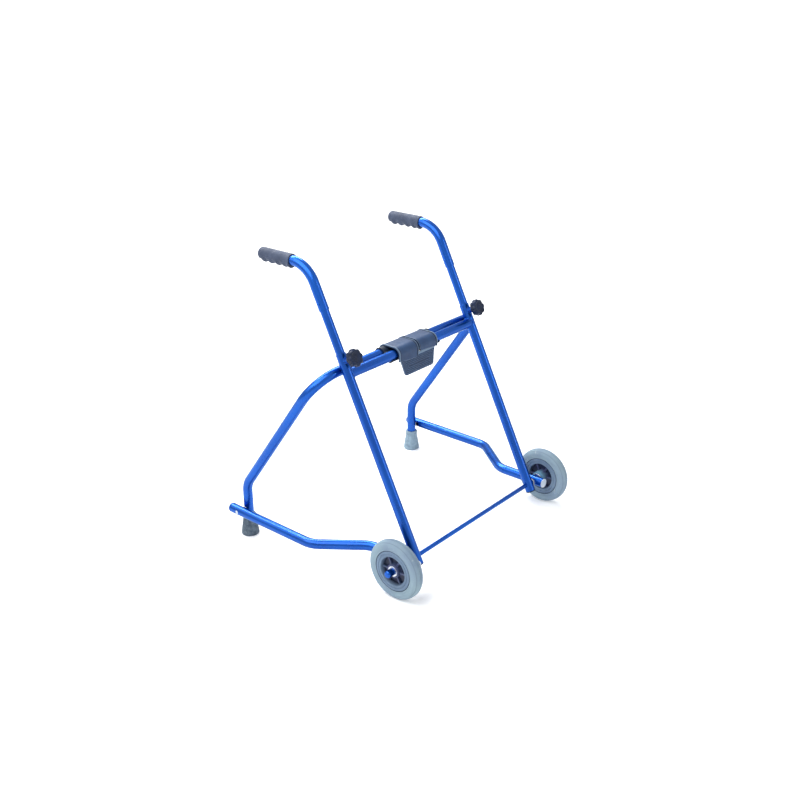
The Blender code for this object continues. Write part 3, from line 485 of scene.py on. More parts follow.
def coped_reach(turn, radius):
    """How far from the middle plane the tube's end lies, for a turn about the tube's axis.

    The end sits on a cylinder of the upright's radius: x = X - sqrt(R^2 - w^2), where w is
    the distance from the plane of the two axes, radius times the sine of the turn.
    """
    return UPRIGHT_X - np.sqrt((TUBE_RADIUS + SEAT_GAP) ** 2 - (radius * np.sin(turn)) ** 2)


def cross_tube_rings():
    """Rings about X between both coped ends: outer surface, then the bore back."""
    turn = full_turn(TUBE_SIDES)
    share = np.linspace(-1, 1, 9)
    rows = []
    for radius, shares in ((TUBE_RADIUS, share), (BORE_RADIUS, share[::-1])):
        reach = shares[:, None] * coped_reach(turn, radius)
        rows.append(CROSS + radius * round_way(turn, UP, -FRONT) + reach[..., None] * ACROSS)
    return np.vstack(rows)


def bead_mesh(line, outwards, radius, ripples):
    """A weld bead: a rippled round run about a closed line.

    Its rings swell and sink once a ripple.  They are set out by the outward direction made
    square to the line, and by the line's direction crossed with that.
    """
    run = unit(np.roll(line, -1, 0) - np.roll(line, 1, 0))
    n = unit(outwards - np.sum(outwards * run, axis=1, keepdims=True) * run)
    size = radius + WELD_RIPPLE * np.sin(ripples * full_turn(len(line)))
    return closed_mesh(swept(line, n, np.cross(run, n), size, WELD_SIDES))


cross_tube = new_piece("front_cross_bar", closed_mesh(cross_tube_rings()), PAINT)
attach(cross_tube, "front_frame")
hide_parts("front_cross_tube")
for side_name, side in SIDES:
    turn = full_turn(WELD_STEPS)
    spokes = round_way(turn, UP, -FRONT)
    line = CROSS + TUBE_RADIUS * spokes
    line[:, 0] = side * coped_reach(turn, TUBE_RADIUS)
    bead = new_piece("cross_bar_weld_" + side_name,
                     bead_mesh(line, spokes, WELD_RADIUS, WELD_RIPPLES), PAINT)
    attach(bead, "front_frame")

# Clamp bosses: short threaded steel bosses welded to the front of each upright, painted with
# it. The clamp knob's screw passes through them to the stem.
KNOB_AT = 0.494
BOSS_RADIUS = 0.008
BOSS_END = 0.024
BOSS_EDGE = 0.0006
BOSS_WELD_RADIUS = 0.6 * WELD_RADIUS
BOSS_WELD_RIPPLES = 24
BOSS_WELD_STEPS = 160
SCREW_HOLE_RADIUS = 0.0043


def round_grid(radius, height, turn):
    """Points (radius cos turn, height, radius sin turn) for rows of radius and height."""
    radius, height, turn = np.broadcast_arrays(radius, height, turn)
    return np.stack([radius * np.cos(turn), height, radius * np.sin(turn)], axis=-1)


def boss_foot(radius, turn, seat=TUBE_RADIUS):
    """A coped foot's height above the upright's axis: sqrt(R^2 - w^2), w the sideways place."""
    return np.sqrt(seat ** 2 - (radius * np.cos(turn)) ** 2)


def boss_rings():
    """Rings about the screw's axis: the end face and sides are turned, and the foot is coped."""
    turn = full_turn(TURNED_SIDES)
    outer, inner = (boss_foot(radius, turn, TUBE_RADIUS + SEAT_GAP)
                    for radius in (BOSS_RADIUS, SCREW_HOLE_RADIUS))
    rows = [(BOSS_RADIUS, outer), (BOSS_RADIUS, BOSS_END - BOSS_EDGE),
            (BOSS_RADIUS - BOSS_EDGE, BOSS_END), (SCREW_HOLE_RADIUS, BOSS_END),
            (SCREW_HOLE_RADIUS, inner)]
    return np.array([round_grid(radius, height, turn) for radius, height in rows])


def from_boss(points, side):
    """Points (sideways, out along the screw, up the upright) moved to a side's clamp."""
    return leaning(side * UPRIGHT_X, KNOB_AT) + points @ np.array((ACROSS, FRONT, UP))


for side_name, side in SIDES:
    boss = new_piece("clamp_boss_turned_" + side_name,
                     closed_mesh(from_boss(boss_rings(), side)), PAINT)
    turn = full_turn(BOSS_WELD_STEPS)
    line = from_boss(round_grid(BOSS_RADIUS, boss_foot(BOSS_RADIUS, turn), turn), side)
    bead = new_piece("clamp_boss_weld_" + side_name,
                     bead_mesh(line, round_way(turn, ACROSS, UP), BOSS_WELD_RADIUS,
                               BOSS_WELD_RIPPLES), PAINT)
    for piece in (boss, bead):
        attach(piece, "front_frame")
    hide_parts("clamp_boss_" + side_name)

# Axle rod: one 11 mm painted steel rod from wheel to wheel, through both uprights and both
# side rails, closed at each end by a pressed cap.
AXLE_RADIUS = 0.0055
AXLE_REACH = float(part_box("axle_rod")[1][0])
CAP_RADIUS = 0.009
CAP_CROWN_RADIUS = 0.72 * CAP_RADIUS
CAP_CROWN = 0.0035
CAP_EASE = 0.0022


def span(node):
    """How far from the middle plane a node starts and ends."""
    return sorted(abs(float(corner[0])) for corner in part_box(node))


rod_line = eased([(0, -AXLE_REACH), (AXLE_RADIUS, -AXLE_REACH), (AXLE_RADIUS, AXLE_REACH),
                  (0, AXLE_REACH)], 0.0008)
rod = new_piece("axle_bar", turned_mesh(rod_line, AXLE, ACROSS), PAINT)
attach(rod, "front_frame")
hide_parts("axle_rod")
for side_name, side in SIDES:
    near, far = span("axle_cap_" + side_name)
    hole = AXLE_RADIUS + SEAT_GAP
    blind = AXLE_REACH + SEAT_GAP
    line = eased([(0, far), (CAP_CROWN_RADIUS, far), (CAP_RADIUS, far - CAP_CROWN),
                  (CAP_RADIUS, near + 0.002), (CAP_RADIUS, near), (hole, near), (hole, blind),
                  (0, blind)], CAP_EASE)
    cap = new_piece("axle_end_cap_" + side_name, turned_mesh(line, AXLE, side * ACROSS), PAINT)
    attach(cap, "front_frame")
    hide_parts("axle_cap_" + side_name)

# Washers and spacers on the axle: plain zinc-plated steel rings, one each side of the rail
# and one under the cap. They sit where the CAD rings are, with eased edges.
ZINC_LIGHT = (0.66, 0.68, 0.70, 1.0)
ZINC_DULL = (0.50, 0.52, 0.56, 1.0)
RING_EDGE = 0.0005
AXLE_RINGS = (("rail_spacer_", 0.010), ("inner_washer_", 0.013), ("wheel_washer_", 0.013))


def ring_mesh(outer, inner, bottom, top, centre, axis):
    """A flat ring between two heights, with its four edges eased."""
    edge = min(RING_EDGE, (top - bottom) / 4)
    line = [(outer, bottom + edge), (outer, top - edge), (outer - edge, top), (inner + edge, top),
            (inner, top - edge), (inner, bottom + edge), (inner + edge, bottom),
            (outer - edge, bottom)]
    return closed_mesh(turned(line, centre, axis))


ZINC = new_finish("bright_zinc", ZINC_LIGHT, ZINC_DULL, patch=90.0, smooth=0.22, rough=0.42,
                  grain=1600.0, cells=0.15, bump=0.10)
set_inputs(principled(ZINC), {"Metallic": 1.0})
for side_name, side in SIDES:
    for node, outer in AXLE_RINGS:
        mesh = ring_mesh(outer, AXLE_RADIUS + SEAT_GAP, *span(node + side_name), AXLE,
                         side * ACROSS)
        ring = new_piece(node + "plated_" + side_name, mesh, ZINC)
        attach(ring, "front_frame")
        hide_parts(node + side_name)

# Wheels: 150 mm, a light grey rubber tyre pressed over a moulded plastic rim. A darker
# ribbed centre fills the rim and turns on a plastic sleeve over the axle rod.
TYRE_GREY = (0.250, 0.345, 0.400, 1.0)
TYRE_SHADE = (0.185, 0.255, 0.345, 1.0)
TYRE_DUST = (0.40, 0.47, 0.50, 1.0)
RIM_GREY = (0.150, 0.220, 0.310, 1.0)
RIM_SHADE = (0.110, 0.165, 0.250, 1.0)
RIM_SCUFFED = (0.30, 0.35, 0.42, 1.0)
CENTRE_NAVY = (0.040, 0.066, 0.130, 1.0)
CENTRE_SHADE = (0.070, 0.074, 0.165, 1.0)
GROOVE_PAINTED_SHADE = (0.055, 0.075, 0.120, 1.0)
POCKET_PAINTED_SHADE = (0.007, 0.012, 0.032, 1.0)
HUB_PAINTED_HIGHLIGHT = (0.16, 0.34, 0.48, 1.0)
WHEEL_RADIUS = 0.075
TYRE_SHOULDER = 0.012
RIM_RADIUS = 0.051
PARTING_RADIUS = 0.0712
RIM_BORE = 0.0345
CENTRE_RADIUS = 0.0340
HUB_RADIUS = 0.017
HUB_BORE = 0.0085
HUB_SEAT_RADIUS = 0.0135
WEB_HALF = 0.003
RIB_COUNT = 6
RIB_HALF_WIDTH = 0.0026
RIB_HEIGHT = 0.0052
TYRE_SIDES = 128
RIM_SIDES = 96
CENTRE_SIDES = 360
SEAM_SHADE_WIDTH = 0.0014
PARTING_SHADE_WIDTH = 0.0012
PARTING_SHADE = 0.35
POCKET_SHADE = 0.85


def mark(mesh, name, values):
    """Keeps one number a point in a mesh, for its material to read."""
    layer = mesh.attributes.new(name, "FLOAT", "POINT")
    layer.data.foreach_set("value", values.ravel())


def mark_tint(material, name, colour):
    """Mixes a material's colour towards another where the pieces' marks say so."""
    shader = principled(material)
    marks = add_node(material.node_tree, "ShaderNodeAttribute", attribute_name=name)
    before = shader.inputs["Base Color"].links[0].from_socket
    tint = mixed(material.node_tree, marks.outputs["Fac"], before, colour)
    set_inputs(shader, {"Base Color": tint})


def tyre_line(near, far):
    """The tyre's section: round shoulders, a nearly flat tread with two fine grooves."""
    half = (far - near) / 2
    t = np.linspace(math.radians(88), 0, 14)
    shoulder = np.stack([np.cos(t), np.sin(t)], axis=1) * TYRE_SHOULDER
    shoulder += (WHEEL_RADIUS - TYRE_SHOULDER, half - TYRE_SHOULDER)
    bead = [(RIM_RADIUS + out, half - sink)
            for out, sink in ((SEAT_GAP, 0.0022), (0.0012, 0.0010), (0.0040, 0.0004),
                              (0.0052, 0.0010), (0.0064, 0.0004))]
    groove = [(WHEEL_RADIUS, 0.0021), (WHEEL_RADIUS - 0.0007, 0.0017),
              (WHEEL_RADIUS - 0.0007, 0.0013), (WHEEL_RADIUS, 0.0009)]
    half_line = np.vstack([bead, shoulder, groove])
    return np.vstack([half_line, half_line[::-1] * (1, -1)]) + (0, (near + far) / 2)


def rim_line(near, far):
    """The rim's section: a drafted bore, a face with one fine groove, and the tyre's seat."""
    face = (far - near) / 2 - 0.0010
    half = eased([(CENTRE_RADIUS + SEAT_GAP, 0.0), (CENTRE_RADIUS + SEAT_GAP, WEB_HALF + 0.002),
                  (RIM_BORE + 0.002, face), (0.0420, face), (0.0424, face - 0.0010),
                  (0.0434, face - 0.0010), (0.0438, face), (RIM_RADIUS - 0.0010, face - 0.0002),
                  (RIM_RADIUS, face - 0.0026), (RIM_RADIUS, 0.0)], 0.0006)
    return np.vstack([half, half[-2:0:-1] * (1, -1)]) + (0, (near + far) / 2)


def step_up(distance, width):
    """0 at or past a distance of zero, easing to 1 over the width."""
    share = np.clip(distance / width, 0, 1)
    return share * share * (3 - 2 * share)


def centre_rings(near, far, hub_near, hub_far, seat, side):
    """The wheel's centre, turned about the axle, with ribs raised from its web.

    The web's height is web + rib (1 - smooth(d / width)), where d is the distance of a point
    from the nearest rib's middle line, so the ribs keep their width from hub to rim.  Returns
    the rings, how deep in a pocket each point lies, for the pockets' painted shade, and how
    near the hub's inner end, for the hub's painted highlight.
    """
    middle = (near + far) / 2
    hub_near, hub_far, seat = hub_near - middle, hub_far - middle, seat - middle
    web = np.array([(radius, WEB_HALF)
                    for radius in (HUB_RADIUS, 0.0215, 0.026, 0.031, CENTRE_RADIUS)])
    outer = eased([(HUB_BORE, seat), (HUB_SEAT_RADIUS, seat), (HUB_SEAT_RADIUS, hub_far),
                   (HUB_RADIUS - 0.0012, hub_far), (HUB_RADIUS, hub_far - 0.0012),
                   (HUB_RADIUS, WEB_HALF)], 0.0004)[:-1]
    inner = [(HUB_RADIUS, hub_near), (HUB_BORE, hub_near)]
    radius, level = np.vstack([outer, web, web[::-1] * (1, -1), inner]).T[..., None]
    lift = np.repeat((0, 1, -1, 0), (len(outer), len(web), len(web), len(inner)))[:, None]
    turn = full_turn(CENTRE_SIDES)
    pitch = 2 * math.pi / RIB_COUNT
    off = np.abs((turn + pitch / 2) % pitch - pitch / 2)
    on_rib = np.clip((RIB_HALF_WIDTH + 0.0005 - radius * np.sin(off)) / 0.0010, 0, 1)
    height = middle + level + lift * RIB_HEIGHT * step_up(on_rib, 1)
    rings = AXLE + round_grid(radius, side * height, turn)[..., [1, 0, 2]]
    # Painted shade: how deep in a pocket between the ribs each point lies.
    pocket = np.abs(lift) * (1 - on_rib) * (radius > HUB_RADIUS + 0.001)
    # Painted highlight: the hub's inner end.
    hub_highlight = np.zeros(height.shape)
    hub_highlight[-len(inner):] = 1.0
    return rings, pocket, hub_highlight


def ring_shade(rings, dark_rings, width):
    """How near each point lies to a ring of painted shade: 1 on it, easing to 0 over the width."""
    radius = np.linalg.norm(rings[..., 1:] - AXLE[1:], axis=-1)
    near = np.min([np.abs(radius - ring) for ring in dark_rings], axis=0)
    return 1 - step_up(near, width)


TYRE_RUBBER = new_finish("grey_tyre_rubber", TYRE_GREY, TYRE_SHADE, patch=11.0, smooth=0.60,
                         rough=0.78, grain=1100.0, cells=0.4, bump=0.18, worn=TYRE_DUST,
                         worn_from=0.60)
RIM_PLASTIC = new_finish("grey_wheel_plastic", RIM_GREY, RIM_SHADE, patch=30.0, smooth=0.42,
                         rough=0.60, grain=1300.0, cells=0.3, bump=0.12, worn=RIM_SCUFFED,
                         worn_from=0.63)
CENTRE_PLASTIC = new_finish("navy_wheel_plastic", CENTRE_NAVY, CENTRE_SHADE, patch=60.0,
                            smooth=0.28, rough=0.48, grain=1300.0, cells=0.3, bump=0.12)
# Painted shade: the tyre and rim darken along the seams between tyre, rim and centre, and the tyre
# along its parting ring.
mark_tint(TYRE_RUBBER, "groove", GROOVE_PAINTED_SHADE)
mark_tint(RIM_PLASTIC, "groove", GROOVE_PAINTED_SHADE)
# The pockets between the ribs are darkened as painted shade.
mark_tint(CENTRE_PLASTIC, "pocket", POCKET_PAINTED_SHADE)
# The hub's inner end is lightened as a painted highlight.
mark_tint(CENTRE_PLASTIC, "hub_painted_highlight", HUB_PAINTED_HIGHLIGHT)
for side_name, side in SIDES:
    way = side * ACROSS
    near, far = span("tyre_" + side_name)
    rings = turned(tyre_line(near, far), AXLE, way, TYRE_SIDES)
    mesh = closed_mesh(rings)
    parting = PARTING_SHADE * ring_shade(rings, (PARTING_RADIUS,), PARTING_SHADE_WIDTH)
    mark(mesh, "groove",
         np.maximum(ring_shade(rings, (RIM_RADIUS,), SEAM_SHADE_WIDTH), parting))
    tyre = new_piece("tyre_ring_" + side_name, mesh, TYRE_RUBBER)
    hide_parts("tyre_" + side_name)
    rings = turned(rim_line(near, far), AXLE, way, RIM_SIDES)
    mesh = closed_mesh(rings)
    mark(mesh, "groove", ring_shade(rings, (RIM_RADIUS, CENTRE_RADIUS), SEAM_SHADE_WIDTH))
    rim = new_piece("wheel_rim_ring_" + side_name, mesh, RIM_PLASTIC)
    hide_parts("wheel_rim_" + side_name)
    inner_face, seat = span("wheel_sleeve_" + side_name)
    rings, pocket, hub_highlight = centre_rings(near, far, *span("wheel_rim_" + side_name), seat, side)
    mesh = closed_mesh(rings)
    mark(mesh, "pocket", POCKET_SHADE * pocket)
    mark(mesh, "hub_painted_highlight", hub_highlight)
    centre = new_piece("wheel_centre_" + side_name, mesh, CENTRE_PLASTIC)
    mesh = ring_mesh(HUB_BORE - SEAT_GAP, AXLE_RADIUS + SEAT_GAP, inner_face, seat, AXLE, way)
    sleeve = new_piece("hub_sleeve_" + side_name, mesh, DARK_PLASTIC)
    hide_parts("wheel_sleeve_" + side_name)
    for piece in (tyre, rim, centre, sleeve):
        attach(piece, "wheel_" + side_name)

# Side rails: painted tubes from the axle rod back past the rear legs, stepped outwards. Each
# has a notch in its inner lower wall for the leg's peg, a pale plastic stud in its outer wall
# beside the leg, a pale plug in front and a rounded cap behind.
RAIL_FRONT_X = 0.268
RAIL_REAR_X = 0.357
RAIL_NOSE = 0.028
RAIL_BENDS = (0.115, 0.231)
RAIL_BEND_RADIUS = 0.060
BEND_STEP = math.radians(3.0)
LEG_SETBACK = 0.4844
RAIL_TAIL = LEG_SETBACK + 0.030
TAIL_STUB = 0.005
TAIL_DOME = 0.0095
STUD_AT = LEG_SETBACK + 0.003
STUD_HOLE_RADIUS = 0.0050
STUD_DOME = 0.0007
NOTCH_HALF = 0.0046
NOTCH_LEAD_IN = 0.010
NOTCH_PAST_AXIS = 0.0027
PLUG_WHITE = (0.56, 0.62, 0.70, 1.0)
PLUG_SHADE = (0.44, 0.51, 0.61, 1.0)
BACKWARDS = np.array((0.0, 1.0, 0.0))


def box_mesh(low, high):
    """A box between two corners."""
    share = np.array([(0, 0, 0), (1, 0, 0), (1, 1, 0), (0, 1, 0), (0, 0, 1), (1, 0, 1), (1, 1, 1),
                      (0, 1, 1)])
    faces = [(0, 3, 2, 1), (4, 5, 6, 7), (0, 1, 5, 4), (1, 2, 6, 5), (2, 3, 7, 6), (3, 0, 4, 7)]
    return made_mesh(low + share * (high - low), faces)


def cut(mesh, tools):
    """A mesh with each tool's volume taken out of it."""
    blank = placed("blank", mesh)
    cutters = [placed("cutter", tool) for tool in tools]
    for cutter in cutters:
        step = blank.modifiers.new("cut", "BOOLEAN")
        step.solver = "EXACT"
        step.object = cutter
    graph = bpy.context.evaluated_depsgraph_get()
    done = bpy.data.meshes.new_from_object(blank.evaluated_get(graph))
    for thing in cutters + [blank]:
        bpy.data.objects.remove(thing, do_unlink=True)
    return done


def dome(radius, height, base, steps):
    """A quarter arc's section: radius sin t out, base + height cos t up."""
    t = np.linspace(0, math.pi / 2, steps)
    return np.stack([radius * np.sin(t), base + height * np.cos(t)], axis=1)


def bent_route(corners, radii):
    """Centre line through corners, with an arc of its radius in place of each inner corner.

    The arc's centre lies on the corner's bisector at radius / sin(half angle), and its points
    are centre - radius (m cos t + s sin t), with m the bisector and s square to it.
    """
    corners = np.array(corners, float)
    route = [corners[:1]]
    for before, corner, after, radius in zip(corners, corners[1:], corners[2:], radii):
        back, on = unit(before - corner), unit(after - corner)
        half = math.acos(float(np.dot(back, on))) / 2
        bisector = unit(back + on)
        centre = corner + bisector * radius / math.sin(half)
        across = unit(on - back)
        reach = math.pi / 2 - half
        steps = max(3, round(2 * reach / BEND_STEP))
        t = np.linspace(-reach, reach, steps + 1)[:, None]
        route.append(centre - radius * (bisector * np.cos(t) - across * np.sin(t)))
    route.append(corners[-1:])
    return np.vstack(route)


def rail_mesh(side):
    """The stepped tube, with the stud's hole and the peg's notch cut out."""
    front, rear = side * RAIL_FRONT_X, side * RAIL_REAR_X
    corners = [(front, -RAIL_NOSE, 0), (front, RAIL_BENDS[0], 0), (rear, RAIL_BENDS[1], 0),
               (rear, RAIL_TAIL, 0)]
    route = bent_route(corners, (RAIL_BEND_RADIUS, RAIL_BEND_RADIUS)) + AXLE
    reach = 2 * TUBE_RADIUS
    drill = turned_mesh([(0, 0.003), (STUD_HOLE_RADIUS, 0.003), (STUD_HOLE_RADIUS, reach),
                         (0, reach)], AXLE + (rear, STUD_AT, 0.0), side * ACROSS, sides=32)
    low = AXLE + (rear - side * reach, LEG_SETBACK - NOTCH_HALF - NOTCH_LEAD_IN, -reach)
    high = AXLE + (rear - side * NOTCH_PAST_AXIS, LEG_SETBACK + NOTCH_HALF, NOTCH_HALF)
    notch = box_mesh(np.minimum(low, high), np.maximum(low, high))
    return cut(closed_mesh(pipe(route, (0, 0, 1), TUBE_RADIUS, TUBE_WALL)), [drill, notch])


WHITE_PLASTIC = new_finish("pale_plug_plastic", PLUG_WHITE, PLUG_SHADE, patch=60.0, smooth=0.35,
                           rough=0.55, grain=1300.0, cells=0.3, bump=0.10)
for side_name, side in SIDES:
    rail = new_piece("side_rail_tube_" + side_name, rail_mesh(side), PAINT)
    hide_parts("side_rail_" + side_name)
    line = plug_line(height=0.0033, edge=0.0006, depth=0.012, ease=0.0010)
    front = AXLE + (side * RAIL_FRONT_X, -RAIL_NOSE, 0)
    nose = new_piece("rail_nose_plug_" + side_name, turned_mesh(line, front, -BACKWARDS),
                     WHITE_PLASTIC)
    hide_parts("rail_front_plug_" + side_name)
    stub = BORE_RADIUS - SEAT_GAP
    line = np.vstack([dome(TUBE_RADIUS, TAIL_DOME, SEAT_GAP, 14),
                      [(stub, SEAT_GAP), (stub, -TAIL_STUB), (0, -TAIL_STUB)]])
    rear = AXLE + (side * RAIL_REAR_X, RAIL_TAIL, 0)
    tail = new_piece("rail_tail_cap_" + side_name, turned_mesh(line, rear, BACKWARDS), PAINT)
    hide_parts("rail_rear_cap_" + side_name)
    shank = STUD_HOLE_RADIUS - SEAT_GAP
    line = np.vstack([dome(shank, STUD_DOME, TUBE_RADIUS - STUD_DOME, 8),
                      [(shank, 0.004), (0, 0.004)]])
    beside_leg = AXLE + (side * RAIL_REAR_X, STUD_AT, 0)
    stud = new_piece("rail_tail_stud_" + side_name,
                     turned_mesh(line, beside_leg, side * ACROSS, sides=32), WHITE_PLASTIC)
    for piece in (rail, nose, tail, stud):
        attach(piece, "rail_" + side_name)

# Rear leg tube: one painted steel tube from foot to foot, bent at two knees and two corners,
# with its middle run held in the clip behind the front cross tube.
LEG_X, LEG_Y = np.mean(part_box("rubber_foot_left"), axis=0)[:2]
LEG_TOP_X = 0.316
LEG_FOOT_Z = 0.0103
KNEE_HEIGHT = 0.143
KNEE_RADIUS = 0.060
CORNER_RADIUS = 0.080
TUBE_PITCH = 0.030
REAR_RUN = CROSS + TUBE_PITCH * BACKWARDS

leg_half = [(LEG_X, LEG_Y, LEG_FOOT_Z), (LEG_X, LEG_Y, KNEE_HEIGHT), REAR_RUN + (LEG_TOP_X, 0, 0)]
leg_route = bent_route(leg_half + [(-x, y, z) for x, y, z in reversed(leg_half)],
                       (KNEE_RADIUS, CORNER_RADIUS, CORNER_RADIUS, KNEE_RADIUS))
legs = new_piece("rear_legs", closed_mesh(pipe(leg_route, BACKWARDS, TUBE_RADIUS, TUBE_WALL)),
                 PAINT)
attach(legs, "rear_frame")
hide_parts("rear_leg_tube")

# Leg pegs: plated studs with a collar, riveted to the outside of each leg. The rails hook
# over them when the frame stands open.
PEG_RADIUS = 0.0040
PEG_COLLAR_RADIUS = 0.0065
PEG_COLLAR = 0.0015

for side_name, side in SIDES:
    bottom, tip = span("leg_peg_" + side_name)
    line = eased([(0, tip), (PEG_RADIUS, tip), (PEG_RADIUS, bottom + PEG_COLLAR),
                  (PEG_COLLAR_RADIUS, bottom + PEG_COLLAR), (PEG_COLLAR_RADIUS, bottom),
                  (0, bottom)], 0.0007)
    at = (0.0, LEG_Y, AXLE[2])
    peg = new_piece("leg_stud_" + side_name, turned_mesh(line, at, side * ACROSS), ZINC)
    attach(peg, "rear_frame")
    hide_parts("leg_peg_" + side_name)

# Rubber feet: flared grey ferrules pushed over the ends of the legs, with two grip rings at
# the neck and a ringed sole. They are lit and shaded copies of one rubber: the left one
# paler as painted light, the right one darker as painted shade.
FOOT_PAINTED_SHADE = ((0.110, 0.148, 0.185, 1.0), (0.055, 0.078, 0.105, 1.0), (0.32, 0.38, 0.41, 1.0))
FOOT_PAINTED_LIGHT = ((0.250, 0.350, 0.430, 1.0), (0.170, 0.240, 0.300, 1.0), (0.52, 0.61, 0.66, 1.0))
FOOT_HEIGHT = float(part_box("rubber_foot_left")[1][2])
FOOT_SOLE = 0.010
FOOT_BASE_RADIUS = 0.023
FOOT_NECK_RADIUS = 0.0165
FOOT_FLARE = (0.0210, 0.020)
TREAD_DEPTH = 0.0012
TREAD_RADII = (0.0175, 0.0170, 0.0150, 0.0145, 0.0105, 0.0100, 0.0080, 0.0075)


def foot_line():
    """The ferrule's section: socket, neck rings, a straight flare, a ringed sole."""
    socket = TUBE_RADIUS + SEAT_GAP
    inside = [(0, FOOT_SOLE), (socket, FOOT_SOLE), (socket, FOOT_HEIGHT)]
    neck = [(FOOT_NECK_RADIUS + out, FOOT_HEIGHT - down)
            for out, down in ((0, 0), (0.001, 0.002), (0.001, 0.0055), (0, 0.0065),
                              (0.0008, 0.0075), (0, 0.010))]
    tread = [(radius, TREAD_DEPTH if i % 4 in (1, 2) else 0.0)
             for i, radius in enumerate(TREAD_RADII)]
    sole = eased([FOOT_FLARE, (FOOT_BASE_RADIUS, 0.007), (FOOT_BASE_RADIUS, 0.0), *tread, (0, 0.0)],
                 0.0034)[1:]
    return np.vstack([inside, eased([(socket, FOOT_HEIGHT)] + neck[:-1], 0.0008)[1:], neck[-1:],
                      [FOOT_FLARE], sole])


for side_name, side in SIDES:
    # Painted light and shade: the left foot takes the paler copy, the right foot the darker one.
    grey, shade, dust = FOOT_PAINTED_LIGHT if side > 0 else FOOT_PAINTED_SHADE
    rubber = new_finish("grey_foot_rubber_" + side_name, grey, shade, patch=110.0, smooth=0.60,
                        rough=0.80, grain=1000.0, cells=0.4, bump=0.20, worn=dust, worn_from=0.56)
    mesh = turned_mesh(foot_line(), (side * LEG_X, LEG_Y, 0.0), (0, 0, 1), sides=64)
    foot = new_piece("leg_ferrule_" + side_name, mesh, rubber)
    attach(foot, "rear_frame")
    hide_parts("rubber_foot_" + side_name)

# Clip saddle: a dark moulding closed round the rear tube, with an open seat for the front
# one, held by two small screws from below.
SADDLE_HALF = float(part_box("clip_saddle")[1][0])
SADDLE_EDGE = 0.0005
CLIP_BORE = TUBE_RADIUS + SEAT_GAP
SADDLE_OUTER = CLIP_BORE + 0.0029
FRONT_SEAT = CROSS[1:]
REAR_SEAT = REAR_RUN[1:]


def arc(centre, radius, start, end, steps):
    """Points (y, z) on a circle between two turns in degrees."""
    t = np.radians(np.linspace(start, end, steps + 1))
    return centre + radius * np.stack([np.cos(t), np.sin(t)], axis=1)


def outward_mesh(points, faces):
    """A mesh with its faces turned to agree and to point outwards."""
    mesh = made_mesh(points, faces)
    shape = bmesh.new()
    shape.from_mesh(mesh)
    bmesh.ops.recalc_face_normals(shape, faces=shape.faces)
    shape.to_mesh(mesh)
    shape.free()
    return mesh


def prism_mesh(outline, hole, half, edge):
    """A moulding of one section along X: walls on a grid, and flat ends with the hole left out.

    The walls' outer rows step in by "edge" towards the section's middle line, as a chamfer.
    """
    points, faces, ends = [], [], ([], [])
    for loop in (outline, hole):
        base = sum(map(len, points))
        run = np.roll(loop, -1, 0) - np.roll(loop, 1, 0)
        inward = unit(np.stack([-run[:, 1], run[:, 0]], axis=1))
        for x, sink in ((-half, edge), (-half + edge, 0.0), (half - edge, 0.0), (half, edge)):
            points.append(np.column_stack([np.full(len(loop), x), loop + sink * inward]))
        index = base + np.arange(4 * len(loop)).reshape(4, -1)
        near, far = index[:-1], index[1:]
        quads = np.stack([near, far, np.roll(far, -1, 1), np.roll(near, -1, 1)], -1)
        faces += quads.reshape(-1, 4).tolist()
        ends[0].append(index[0])
        ends[1].append(index[-1])
    points = np.vstack(points)
    for rings in ends:
        order = np.concatenate(rings)
        flat = [[Vector((0.0, *points[i, 1:])) for i in ring] for ring in rings]
        faces += [[int(order[i]) for i in triangle] for triangle in tessellate_polygon(flat)]
    return outward_mesh(points, faces)


saddle_outline = np.vstack([
    arc(FRONT_SEAT, CLIP_BORE, 30, -148, 34), arc(FRONT_SEAT, SADDLE_OUTER, -150, -90, 12),
    arc(REAR_SEAT, SADDLE_OUTER, -90, 150, 44)])
saddle_hole = arc(REAR_SEAT, CLIP_BORE, 360, 0, 56)[:-1]
saddle = new_piece("clip_saddle_moulding", prism_mesh(saddle_outline[::-1], saddle_hole[::-1],
                                                      SADDLE_HALF, SADDLE_EDGE), DARK_PLASTIC)
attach(saddle, "rear_frame")
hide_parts("clip_saddle")
for side_name, side in SIDES:
    x = np.mean(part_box("clip_screw_" + side_name), axis=0)[0]
    seat = SADDLE_OUTER + SEAT_GAP
    line = eased([(0, seat + 0.0014), (0.0012, seat + 0.0022), (0.0026, seat + 0.0021),
                  (0.0040, seat + 0.0008), (0.0040, seat), (0.0020, seat), (0.0020, CLIP_BORE),
                  (0, CLIP_BORE)], 0.0005)
    screw = new_piece("clip_fixing_" + side_name,
                      turned_mesh(line, (x, *REAR_SEAT), (0, 0, -1), sides=32), ZINC)
    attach(screw, "rear_frame")
    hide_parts("clip_screw_" + side_name)

# Clip cover: a slate moulding that wraps both tubes and hinges on the rear one. It has a lip
# at each end and a raised band in the middle, and a ribbed flap hangs from its front edge.
COVER_HALF = float(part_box("clip_cover")[1][0])
COVER_INNER = SADDLE_OUTER + SEAT_GAP
COVER_WALL = 0.003
COVER_RIDGE = 0.0012
COVER_GROOVE = 0.0004
COVER_END_REACH = 0.0009
COVER_END_DROP = 0.0007
COVER_EDGE_REACH = 0.0018
COVER_EDGE_DROP = 0.0011
RIDGE_SLOPE = 0.0008
GROOVE_HALF = 0.0016
BAND_GROOVE = 0.0020
COVER_LIP = 0.0040
COVER_BAND_HALF = 0.0050
COVER_SKIRT = 0.014
COVER_ROWS = 90
RIGHT_TAB_DROP = 0.009
RIGHT_END_DROP = 0.002
LEFT_TAB_RISE = 0.006
SLOT_HALF = 0.0021
SLOT_DEPTH = 0.034
TAB_CORNER = 0.011
FLAP_TOP_HALF = 0.066
FLAP_FOOT_HALF = 0.055
FLAP_DROP = 0.057
FLAP_LEAN_OUT = 0.005
